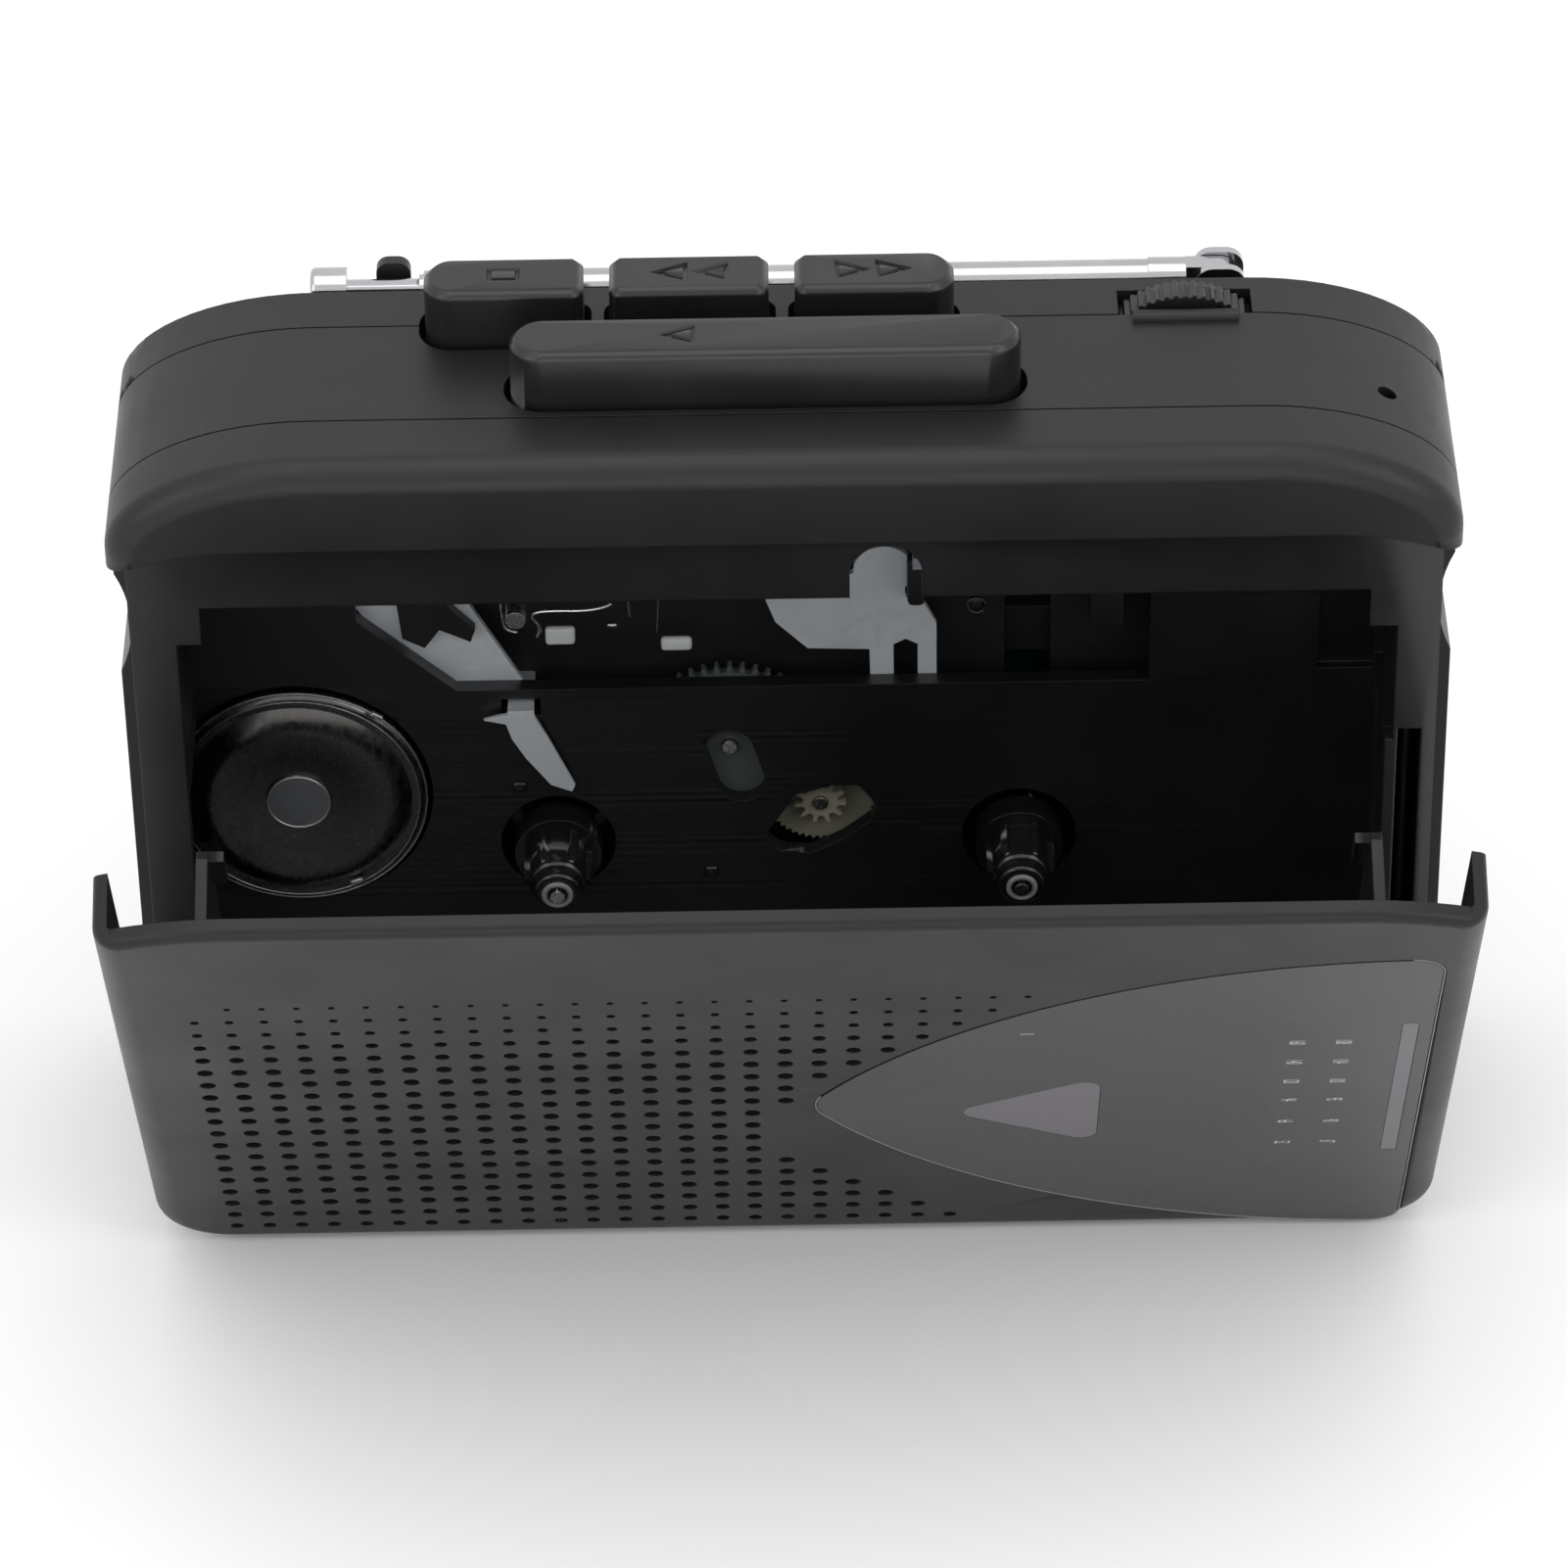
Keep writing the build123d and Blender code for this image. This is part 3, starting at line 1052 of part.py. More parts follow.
elbow -= rod_y(aerial_pivot_x, aerial_z, aerial_pin_r + running_gap, aerial_y - 3, aerial_y + 3)
for x in (aerial_elbow_x - 5.5, aerial_elbow_x - 2.8):
    elbow -= Pos(x, aerial_y - tube_r - 0.2, aerial_z + 0.5) * Sphere(0.42)
parts["aerial_tube"] = elbow
mid_x1 = aerial_elbow_x - 2.0
mid_tube = rod_x(aerial_y, aerial_z, mid_tube_r, tube_x0 - 0.4, mid_x1)
mid_tube -= rod_x(aerial_y, aerial_z, mid_bore_r, tube_x0 - 2, mid_x1 - 1.0)
parts["aerial_mid_tube"] = mid_tube
tip_rod = rod_x(aerial_y, aerial_z, tip_rod_r, tip_cap_x - 0.5, mid_x1 - 2.0)
tip_cap = rod_x(aerial_y, aerial_z, tip_cap_r, tip_cap_x - tip_cap_len, tip_cap_x)
tip_cap = fillet(tip_cap.faces().sort_by(Axis.X)[0].edges(), 0.5)
parts["aerial_tip_rod"] = tip_rod + tip_cap

# Door, drawn shut and then swung open about its hinge
door_top = z_band - door_gap
door_low = below_band(door_drop)
shell_y1 = y_front + flange_reach
door = slab(half_w, door_low, door_top + front_edge_r, y_front, shell_y1 + 8, low_corner_r)
door = fillet(door.faces().sort_by(Axis.Y)[0].outer_wire().edges(), door_edge_r)
inside = slab(half_w - door_side, door_low + door_bottom_t, door_top + 20, y_front + door_skin, shell_y1 + 9,
              low_corner_r - door_side)
inside = fillet(inside.faces().sort_by(Axis.Y)[0].outer_wire().edges(), door_inner_r)
door -= inside
door &= under_hood(door_gap, y_front - 1, shell_y1)
top_edges = door.edges().filter_by(Axis.X).group_by(Axis.Z)[-1].sort_by(Axis.Y)
door = fillet(top_edges[0], 0.9)
bottom_wall_y1 = at_depth(door_wall_depth)
door += box(-door_wall_half, door_wall_half, y_front + door_edge_r, bottom_wall_y1, door_low,
            door_low + door_bottom_t)
for side in (-1, 1):
    x_low, x_high = sorted((side * (door_wall_half - lug_t), side * door_wall_half))
    lug = rod_x(y_hinge, z_hinge, lug_r, x_low, x_high)
    lug += box(x_low, x_high, bottom_wall_y1 - 1.5, y_hinge, door_low, door_low + lug_r)
    door += lug
    door -= rod_x(y_hinge, z_hinge, hinge_pin_r + running_gap, x_low - 1, x_high + 1)
label_z = below_band(label_z_drop)


def label_face(margin):
    """The bullet outline of the label insert, in (x, z), drawn in by a margin."""
    arc_mid_x = label_x1 - label_corner_x
    low_arc_z = label_z - label_half_h + label_arc_r
    high_arc_z = label_z + label_half_h - label_arc_r
    lens = Pos(arc_mid_x, low_arc_z) * Circle(label_arc_r)
    lens &= Pos(arc_mid_x, high_arc_z) * Circle(label_arc_r)
    right = Pos(label_x1 - 60, label_z) * Rectangle(120, 120)
    face = lens & right
    face = fillet(face.vertices().group_by(Axis.X)[0], label_nose_r)
    face = fillet(face.vertices().group_by(Axis.X)[-1], label_corner_r)
    if margin:
        face = offset(face, amount=-margin)
    return face


def window_face(margin):
    """The rounded triangle of the cassette window, drawn in by a margin."""
    middle = label_z - window_drop_in_label
    high = (window_base_x, middle + window_half_h)
    low = (window_base_x, middle - window_half_h)
    face = make_face(Polyline((window_tip_x, middle), high, low, close=True))
    face = fillet(face.vertices(), 1.5)
    if margin:
        face = offset(face, amount=-margin)
    return face


def dial_face(margin):
    """The upright bar of the dial window, drawn in by a margin."""
    middle = Pos((dial_x0 + dial_x1) / 2, below_band(dial_top_drop) - dial_h / 2)
    face = middle * Rectangle(dial_x1 - dial_x0, dial_h)
    if margin:
        face = offset(face, amount=-margin)
    return face


recess_y1 = y_front + label_t + 0.05
door -= profile(label_face(0), y_front - 1, recess_y1)
door -= profile(window_face(0.6), y_front - 1, y_front + door_skin + 1)
door -= profile(dial_face(0.2), y_front - 1, y_front + door_skin + 1)


def in_label(x, z):
    """Whether a grille hole would run into the label insert or come too near it."""
    arc_mid_x = label_x1 - label_corner_x
    low_arc_z = label_z - label_half_h + label_arc_r
    high_arc_z = label_z + label_half_h - label_arc_r
    near_low = (x - arc_mid_x) ** 2 + (z - low_arc_z) ** 2 < (label_arc_r + bare_below) ** 2
    near_high = (x - arc_mid_x) ** 2 + (z - high_arc_z) ** 2 < (label_arc_r + bare_above) ** 2
    return near_low and near_high


grille = []
graded = {0: 0.42, 1: 0.55, 2: 0.65, 3: 0.8, 4: 0.92, grille_rows - 2: 0.93, grille_rows - 1: 0.85}
for column in range(grille_columns):
    for row in range(grille_rows):
        x = grille_x0 + column * grille_pitch_x
        z = below_band(grille_drop + row * grille_pitch_z)
        corner = column == 0 and row == 0
        if corner or in_label(x, z):
            continue
        hole_r = grille_hole_r * graded.get(row, 1.0)
        grille.append(rod_y(x, z, hole_r, y_front - 1, y_front + door_skin + 1))
print("grille holes", len(grille))
door -= grille

guides = []
for side in (-1, 1):
    x_low, x_high = sorted((side * guide_x, side * (guide_x + guide_t)))
    guide = box(x_low, x_high, y_front + door_skin, at_depth(guide_depth), below_band(guide_low_drop),
                below_band(guide_top_drop))
    back_top = guide.edges().filter_by(Axis.X).group_by(Axis.Z)[-1].sort_by(Axis.Y)[-1]
    guide = chamfer(back_top, 1.2)
    lip_x = sorted((side * (guide_x - guide_lip + guide_t), side * guide_x))
    guide += box(lip_x[0], lip_x[1], at_depth(guide_depth) - 1.0, at_depth(guide_depth),
                 below_band(guide_top_drop) - 6.0, below_band(guide_top_drop) - 1.2)
    guides.append(guide)

label = profile(label_face(label_gap), y_front, y_front + label_t)
label -= profile(window_face(0), y_front - 1, y_front + 2)
label -= profile(dial_face(0), y_front - 1, y_front + 2)
windows = [
    profile(window_face(0.05), y_front, y_front + label_t),
    profile(dial_face(0.05), y_front, y_front + label_t),
]
hinge_axis = Axis((0, y_hinge, z_hinge), (1, 0, 0))
door_pieces = {
    "door_shell": door,
    "cassette_guides": Compound(children=guides),
    "door_label": label,
    "door_windows": Compound(children=windows),
}
for name, piece in door_pieces.items():
    parts[name] = piece.rotate(hinge_axis, open_angle)

os.makedirs("parts", exist_ok=True)
for name, piece in parts.items():
    export_step(piece, f"parts/{name}.step")
print(len(parts), "nodes written")
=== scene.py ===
import json
from math import cos, pi, radians, sin

import bmesh
import bpy
from mathutils import Matrix, Vector

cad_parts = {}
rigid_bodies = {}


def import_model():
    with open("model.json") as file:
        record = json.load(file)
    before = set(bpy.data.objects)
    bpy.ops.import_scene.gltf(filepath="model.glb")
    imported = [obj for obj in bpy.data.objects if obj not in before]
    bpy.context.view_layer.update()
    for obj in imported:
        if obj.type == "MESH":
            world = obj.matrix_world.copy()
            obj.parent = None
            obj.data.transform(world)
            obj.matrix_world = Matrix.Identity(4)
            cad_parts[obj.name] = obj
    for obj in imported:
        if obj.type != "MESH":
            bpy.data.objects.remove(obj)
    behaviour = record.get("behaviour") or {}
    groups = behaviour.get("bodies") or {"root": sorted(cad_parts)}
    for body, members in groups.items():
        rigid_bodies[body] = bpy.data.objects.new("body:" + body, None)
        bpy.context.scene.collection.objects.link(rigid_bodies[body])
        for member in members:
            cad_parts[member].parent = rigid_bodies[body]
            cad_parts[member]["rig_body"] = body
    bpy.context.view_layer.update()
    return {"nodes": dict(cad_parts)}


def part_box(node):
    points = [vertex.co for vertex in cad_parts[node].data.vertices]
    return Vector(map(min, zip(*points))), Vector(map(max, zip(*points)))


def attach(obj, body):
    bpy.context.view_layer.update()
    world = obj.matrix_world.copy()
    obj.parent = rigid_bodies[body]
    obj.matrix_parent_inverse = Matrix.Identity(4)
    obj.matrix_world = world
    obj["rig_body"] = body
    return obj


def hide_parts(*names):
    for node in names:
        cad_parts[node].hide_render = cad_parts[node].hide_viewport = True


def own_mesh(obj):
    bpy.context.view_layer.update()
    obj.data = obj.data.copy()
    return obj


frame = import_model()

# Outer casing: a front frame, a middle frame and a rear shell, moulded in black ABS with a fine
# spark-eroded grain, and held together by four screws from the back. Lengths are in millimetres, and
# a place is given by its x, its drop under the hood band and its depth behind the front.
MM = 0.001


def wire_up(material):
    """The node tree, its principled shader and a maker of nodes and links for one material."""
    material.use_nodes = True
    tree = material.node_tree
    shader = next(n for n in tree.nodes if n.type == "BSDF_PRINCIPLED")

    def node(kind, **settings):
        made = tree.nodes.new(kind)
        for key, value in settings.items():
            if key.startswith("in_"):
                made.inputs[key[3:].replace("_", " ")].default_value = value
            else:
                setattr(made, key, value)
        return made

    return tree, shader, node


def moulded(name, colour, roughness, grain=0.22, depth=0.006, shade=0.15, specular=0.5, edge=0.12):
    """A moulded plastic or rubber: even colour with faint flow, a fine grain and softened edges."""
    material = bpy.data.materials.new(name)
    tree, shader, node = wire_up(material)
    link = tree.links.new
    place = node("ShaderNodeTexCoord")
    flow = node("ShaderNodeTexNoise", in_Scale=90.0, in_Detail=3.0)
    link(place.outputs["Object"], flow.inputs["Vector"])
    tint = node("ShaderNodeMixRGB")
    tint.inputs["Color1"].default_value = (*[c * (1 - shade) for c in colour], 1)
    tint.inputs["Color2"].default_value = (*[c * (1 + shade) for c in colour], 1)
    link(flow.outputs["Fac"], tint.inputs["Fac"])
    link(tint.outputs["Color"], shader.inputs["Base Color"])
    fine = node("ShaderNodeTexNoise", in_Scale=1 / (grain * MM), in_Detail=2.0)
    link(place.outputs["Object"], fine.inputs["Vector"])
    sheen = node("ShaderNodeMapRange")
    sheen.inputs["From Min"].default_value = 0.3
    sheen.inputs["From Max"].default_value = 0.7
    sheen.inputs["To Min"].default_value = roughness - 0.05
    sheen.inputs["To Max"].default_value = roughness + 0.05
    link(flow.outputs["Fac"], sheen.inputs["Value"])
    link(sheen.outputs["Result"], shader.inputs["Roughness"])
    shader.inputs["Specular IOR Level"].default_value = specular
    bump = node("ShaderNodeBump", in_Strength=1.0, in_Distance=depth * MM)
    link(fine.outputs["Fac"], bump.inputs["Height"])
    if edge:
        soft = node("ShaderNodeBevel", samples=4, in_Radius=edge * MM)
        link(soft.outputs["Normal"], bump.inputs["Normal"])
    link(bump.outputs["Normal"], shader.inputs["Normal"])
    return material


def dressed(node, material, name=None, sharp=32):
    """A smooth copy of a CAD node that stands for it, with true edges kept sharp and flats kept flat."""
    source = frame["nodes"][node]
    mesh = source.data.copy()
    mesh.name = name or node + "_look"
    form = bmesh.new()
    form.from_mesh(mesh)
    bmesh.ops.remove_doubles(form, verts=form.verts, dist=2e-6)
    bmesh.ops.dissolve_limit(form, angle_limit=radians(0.03), verts=form.verts, edges=form.edges)
    form.to_mesh(mesh)
    form.free()
    mesh.materials.clear()
    mesh.materials.append(material)
    mesh.shade_smooth()
    mesh.set_sharp_from_angle(angle=radians(sharp))
    piece = bpy.data.objects.new(mesh.name, mesh)
    bpy.context.scene.collection.objects.link(piece)
    even = piece.modifiers.new("even_normals", "WEIGHTED_NORMAL")
    even.keep_sharp = True
    even.weight = 100
    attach(piece, source["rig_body"])
    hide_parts(node)
    return piece


case_black = moulded("case_black_grained", (0.0098, 0.0096, 0.0102), 0.4, specular=0.34)
case_polished = moulded("case_black_polished", (0.0095, 0.0092, 0.0097), 0.34, depth=0.0006, edge=0.25)
for node in ("front_frame", "middle_frame", "rear_shell"):
    dressed(node, case_black)

# Rear step: the low step behind the aerial is moulded in one with the rear shell, and its ends follow
# the round corners of the case. The CAD step is cut straight, so its two ends are drawn down here.
corner_x = 41.5
corner_w = 18.0
corner_h = 9.2
shoulder_z = 79.3
step_y = 10.0
step_z = 83.2
step_drop = 5.3
lowest_change = 70.0
rear = bpy.data.objects["rear_shell_look"].data
form = bmesh.new()
form.from_mesh(rear)
columns = (41.5, 44.5, 47.5, 50.0, 52.0, 54.0, 55.5, 56.8, 57.8, 58.5, 59.0)
cuts = [(side * x, 0, 1) for side in (-1, 1) for x in columns] + [(0, step_y - 0.05, 0), (0, step_y, 0)]
for x, y, across in cuts:
    bmesh.ops.bisect_plane(form, geom=form.verts[:] + form.edges[:] + form.faces[:], dist=1e-7,
                           plane_co=(x * MM, y * MM, 0), plane_no=(across, 1 - across, 0))
for point in form.verts:
    beyond = min((abs(point.co.x) / MM - corner_x) / corner_w, 1.0)
    if point.co.y > (step_y - 0.01) * MM and beyond > 0 and point.co.z < (step_z + 0.05) * MM:
        crown = shoulder_z + corner_h * (1 - beyond ** 2) ** 0.5
        top, low = min(step_z, crown), crown - step_drop
        foot = max(low - 3 * (top - low), lowest_change)
        if point.co.z > foot * MM:
            point.co.z = (foot + (point.co.z / MM - foot) * (low - foot) / (top - foot)) * MM
form.to_mesh(rear)
form.free()
rear.set_sharp_from_angle(angle=radians(32))

# Front ledge and side strips: the faces that the door closes on are left nearly polished in the mould.
ledge_y = -16.4
hood_low_z = 80.3
front = bpy.data.objects["front_frame_look"].data
front.materials.append(case_polished)
for face in front.polygons:
    if face.normal.y < -0.99 and face.center.y > ledge_y * MM and face.center.z < hood_low_z * MM:
        face.material_index = 1

# Case screws: four black-plated crosshead screws, sunk in the back, that pull the rear shell against the
# front frame. The finishes and the small makers that later sections share are also given here.


def metal(name, colour, roughness, brush=None, brush_depth=0.002, metallic=1.0):
    """A metal finish: plated, drawn or turned, with the fine lines its making leaves."""
    material = bpy.data.materials.new(name)
    tree, shader, node = wire_up(material)
    link = tree.links.new
    shader.inputs["Metallic"].default_value = metallic
    place = node("ShaderNodeTexCoord")
    stretch = node("ShaderNodeMapping")
    stretch.inputs["Scale"].default_value = brush or (1.0, 1.0, 1.0)
    link(place.outputs["Object"], stretch.inputs["Vector"])
    lines = node("ShaderNodeTexNoise", in_Scale=1500.0, in_Detail=3.0)
    link(stretch.outputs["Vector"], lines.inputs["Vector"])
    cloud = node("ShaderNodeTexNoise", in_Scale=180.0, in_Detail=4.0)
    link(place.outputs["Object"], cloud.inputs["Vector"])
    tint = node("ShaderNodeMixRGB")
    tint.inputs["Color1"].default_value = (*[c * 0.82 for c in colour], 1)
    tint.inputs["Color2"].default_value = (*[min(c * 1.15, 1.0) for c in colour], 1)
    link(cloud.outputs["Fac"], tint.inputs["Fac"])
    link(tint.outputs["Color"], shader.inputs["Base Color"])
    sheen = node("ShaderNodeMapRange")
    sheen.inputs["From Min"].default_value = 0.3
    sheen.inputs["From Max"].default_value = 0.7
    sheen.inputs["To Min"].default_value = max(roughness - 0.06, 0.02)
    sheen.inputs["To Max"].default_value = roughness + 0.08
    link(lines.outputs["Fac"], sheen.inputs["Value"])
    link(sheen.outputs["Result"], shader.inputs["Roughness"])
    bump = node("ShaderNodeBump", in_Strength=1.0, in_Distance=brush_depth * MM)
    link(lines.outputs["Fac"], bump.inputs["Height"])
    soft = node("ShaderNodeBevel", samples=4, in_Radius=0.08 * MM)
    link(soft.outputs["Normal"], bump.inputs["Normal"])
    link(bump.outputs["Normal"], shader.inputs["Normal"])
    return material


def spot(x, drop, depth):
    """A place given by its x, its drop under the hood band and its depth behind the front, in millimetres."""
    return Vector((x, depth - 18.0, 80.0 - drop)) * MM


def shown(name, mesh, material, body, sharp=40):
    """A new piece made of a finished mesh, that rides on one body."""
    mesh.materials.clear()
    mesh.materials.append(material)
    mesh.shade_smooth()
    mesh.set_sharp_from_angle(angle=radians(sharp))
    piece = bpy.data.objects.new(name, mesh)
    bpy.context.scene.collection.objects.link(piece)
    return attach(piece, body)


def wire(name, route, r, material, body, shares=None):
    """A round wire that bends smoothly along (x, drop, depth) control places; shares make true arcs."""
    line = bpy.data.curves.new(name, "CURVE")
    line.dimensions = "3D"
    line.bevel_depth = r * MM
    line.bevel_resolution = 2
    line.use_fill_caps = True
    run = line.splines.new("NURBS")
    run.points.add(len(route) - 1)
    for point, place, share in zip(run.points, route, shares or [1] * len(route)):
        point.co = (*spot(*place), share)
    run.order_u = 3
    run.use_endpoint_u = True
    run.use_bezier_u = bool(shares)
    run.resolution_u = 12
    draft = bpy.data.objects.new(name + "_line", line)
    mesh = bpy.data.meshes.new_from_object(draft)
    bpy.data.objects.remove(draft)
    mesh.name = name
    return shown(name, mesh, material, body)


def turned(name, middle, section, material, body, sharp=40):
    """A ring turned round a fore-and-aft axis from a closed section of (radius, depth) corners."""
    form = bmesh.new()
    corners = [form.verts.new((radius * MM, depth * MM, 0)) for radius, depth in section]
    for one, two in zip(corners, corners[1:] + corners[:1]):
        form.edges.new((one, two))
    bmesh.ops.spin(form, geom=form.verts[:] + form.edges[:], cent=(0, 0, 0), axis=(0, 1, 0), dvec=(0, 0, 0),
                   angle=2 * pi, steps=96, use_merge=True)
    bmesh.ops.recalc_face_normals(form, faces=form.faces[:])
    bmesh.ops.translate(form, vec=spot(*middle), verts=form.verts)
    mesh = bpy.data.meshes.new(name)
    form.to_mesh(mesh)
    form.free()
    return shown(name, mesh, material, body, sharp)


def ring(name, middle, radius, r, material, body):
    """A ring of round wire, made from a small octagon."""
    a = 0.414 * r
    section = [(radius + r, -a), (radius + r, a), (radius + a, r), (radius - a, r), (radius - r, a),
               (radius - r, -a), (radius - a, -r), (radius + a, -r)]
    return turned(name, middle, section, material, body, 60)


def bent_tab(name, middle, size, material, body, round_off=0.12, turn=0.0):
    """A small block with softened edges, centred on a place and turned round a fore-and-aft axis."""
    form = bmesh.new()
    bmesh.ops.create_cube(form, size=1.0)
    width, height, deep = size
    bmesh.ops.scale(form, vec=Vector((width, deep, height)) * MM, verts=form.verts)
    bmesh.ops.bevel(form, geom=form.edges[:], offset=round_off * MM, affect="EDGES", segments=3, profile=0.5,
                    material=-1)
    bmesh.ops.rotate(form, cent=(0, 0, 0), matrix=Matrix.Rotation(radians(turn), 3, "Y"), verts=form.verts)
    bmesh.ops.translate(form, vec=spot(*middle), verts=form.verts)
    mesh = bpy.data.meshes.new(name)
    form.to_mesh(mesh)
    form.free()
    return shown(name, mesh, material, body)


screw_black = metal("screw_black_plate", (0.09, 0.09, 0.095), 0.35)
dressed("case_screws", screw_black)

# Battery side: the moulded sliding door, the tray for two penlight cells behind it, and the nickelled
# steel contacts that are pressed into the ends of the tray.
inner_black = moulded("inner_black", (0.0065, 0.0065, 0.007), 0.5, specular=0.4)
nickel = metal("nickel_plate", (0.62, 0.6, 0.56), 0.28)
dressed("battery_door", case_black)
dressed("battery_tray", inner_black)
dressed("battery_contacts", nickel)

# Cassette well: a black moulded tray behind the cassette. Its floor has fine ribs across, which are made
# by cutting the floor at each rib's root and crest and drawing the crests forward.
rib_pitch = 0.8 * MM
rib_depth = 0.07 * MM
well_black = moulded("well_black", (0.0055, 0.0055, 0.006), 0.42, specular=0.45)
well = dressed("well_tray", well_black, "well_tray_look")
well_low, well_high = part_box("well_tray")
floor_y = -3.0 * MM
floor_half = 52.5 * MM
form = bmesh.new()
form.from_mesh(well.data)
level = well_low.z + 3 * MM
ridge = []
while level < well_high.z - 0.6 * MM:
    for shift, crest in ((0.0, False), (rib_pitch / 2, True)):
        bmesh.ops.bisect_plane(form, geom=form.verts[:] + form.edges[:] + form.faces[:], dist=1e-7,
                               plane_co=(0, 0, level + shift), plane_no=(0, 0, 1))
        if crest:
            ridge.append(level + shift)
    level += rib_pitch
for point in form.verts:
    if abs(point.co.y - floor_y) < 1e-6 and abs(point.co.x) < floor_half:
        if any(abs(point.co.z - crest) < 1e-6 for crest in ridge):
            point.co.y -= rib_depth
form.to_mesh(well.data)
form.free()
well.data.set_sharp_from_angle(angle=radians(32))

# Tape drive: a steel chassis coloured nearly black, on bright standoffs, fixed steel posts, zinc-plated
# pressed levers and plates, and turned brass for the capstan's bush and the motor's pulley.
chassis_black = metal("chassis_near_black", (0.012, 0.012, 0.013), 0.5, brush_depth=0.003, metallic=0.3)
dressed("chassis_plate", chassis_black)
zinc = metal("zinc_plate", (0.52, 0.56, 0.6), 0.5, brush_depth=0.003, metallic=0.75)
steel = metal("bright_steel", (0.55, 0.55, 0.56), 0.25)
brass = metal("turned_brass", (0.62, 0.46, 0.2), 0.3)
zinc_bright = metal("zinc_plate_bright", (0.8, 0.84, 0.88), 0.55, brush_depth=0.003, metallic=0.7)
for node in ("key_bracket", "head_carriage"):
    dressed(node, zinc)
for node in ("brake_plate", "link_plate", "leaf_lever"):
    dressed(node, zinc_bright)
for node in ("chassis_standoffs", "chassis_posts", "hinge_pins", "flywheel"):
    dressed(node, steel)
dressed("pointer_rail", chassis_black)
for node in ("capstan_bush", "motor_pulley"):
    dressed(node, brass)

# Motor: a drawn steel can, dark plated, whose closed end shows in the left of the well. The end has a
# pressed pan round its boss and a seam rolled over an end plate, held by crimped tabs. Thin rings at the boss
# edge, the rolled seam and the can's rim, and the tabs, are lighter copies of the can steel: painted
# highlights.
motor_steel = metal("motor_can_steel", (0.12, 0.116, 0.112), 0.26, brush=(1.0, 1.0, 0.5), brush_depth=0.0003)
boss_grey = metal("motor_boss_grey", (0.3, 0.31, 0.33), 0.5, brush_depth=0.003)
seam_painted_highlight = metal("motor_seam_painted_highlight", (0.38, 0.38, 0.38), 0.35)
tab_painted_highlight = metal("motor_tab_painted_highlight", (0.62, 0.62, 0.62), 0.4)
can = dressed("motor", motor_steel)
can.data.materials.append(boss_grey)
motor_x, motor_drop, motor_depth = motor_middle = (-44.9, 38.0, 14.2)
boss_r = 2.95
boss_rise = 0.05
for face in can.data.polygons:
    reach = (face.center - spot(*motor_middle)) * Vector((1, 0, 1))
    if reach.length < boss_r * MM and face.center.y < (motor_depth - 18.0 - boss_rise) * MM:
        face.material_index = 1
pan_section = ((2.85, 0.1), (2.85, -0.2), (5.5, -0.5), (8.0, -0.95), (8.7, -0.9), (9.5, -0.6), (10.2, -0.15),
               (10.7, 0.2))
turned("motor_end_pan", motor_middle, pan_section, motor_steel, "casing", 50)
# Painted highlights: bright rings along the boss edge, the rolled seam and the can's rim.
ring("motor_boss_edge_highlight", (motor_x, motor_drop, 13.72), 2.86, 0.09, tab_painted_highlight, "casing")
ring("motor_rolled_seam_highlight", motor_middle, 11.1, 0.07, seam_painted_highlight, "casing")
ring("motor_can_rim_highlight", (motor_x, motor_drop, 14.6), 11.75, 0.1, seam_painted_highlight, "casing")
for number, (x, drop, turn) in enumerate(((-37.3, 28.3, 33.0), (-40.0, 47.3, -20.0))):
    name = "motor_crimp_tab_%d" % (number + 1)
    bent_tab(name, (x, drop, 13.8), (1.2, 0.5, 0.5), tab_painted_highlight, "casing", turn=turn)

# Belt and pinch roller: black rubber, dull and slightly grey; the belt is a ground square loop, and the
# roller is moulded on a sleeve.
rubber = moulded("drive_rubber", (0.018, 0.018, 0.018), 0.7, grain=0.3, depth=0.01, specular=0.3)
dressed("drive_belt", rubber)
dressed("pinch_roller", rubber)

# Reel spindles: glossy black acetal with six fins, each on a fixed steel pin, and kept there by a pale
# washer at its tip.
spindle_black = moulded("spindle_black", (0.006, 0.006, 0.0065), 0.22, depth=0.001, specular=0.5)
washer_grey = moulded("tip_washer_grey", (0.2, 0.2, 0.21), 0.35, depth=0.001)
for node, x in (("takeup_spindle", -21.25), ("supply_spindle", 21.25)):
    dressed(node, spindle_black)
    ring(node + "_tip_washer", (x, 44.05, 7.02), 1.2, 0.24, washer_grey, node)

# Gears: a natural nylon idler, coloured far darker than natural nylon as painted shade, and an ivory acetal
# stop gear, moulded, on fixed steel posts. They show in two slots of the well floor.
nylon = moulded("nylon_idler_painted_shade", (0.07, 0.08, 0.08), 0.4, depth=0.002)
acetal = moulded("acetal_ivory", (0.23, 0.22, 0.17), 0.35, depth=0.002)
dressed("idler_gear", nylon)
dressed("stop_gear", acetal)

# Tape head and brake hook: a polished mumetal screen on the head, and a black moulded hook pressed into
# the brake plate.
screen = metal("head_screen", (0.6, 0.6, 0.6), 0.12)
dressed("tape_head", screen)
dressed("brake_hook", inner_black)

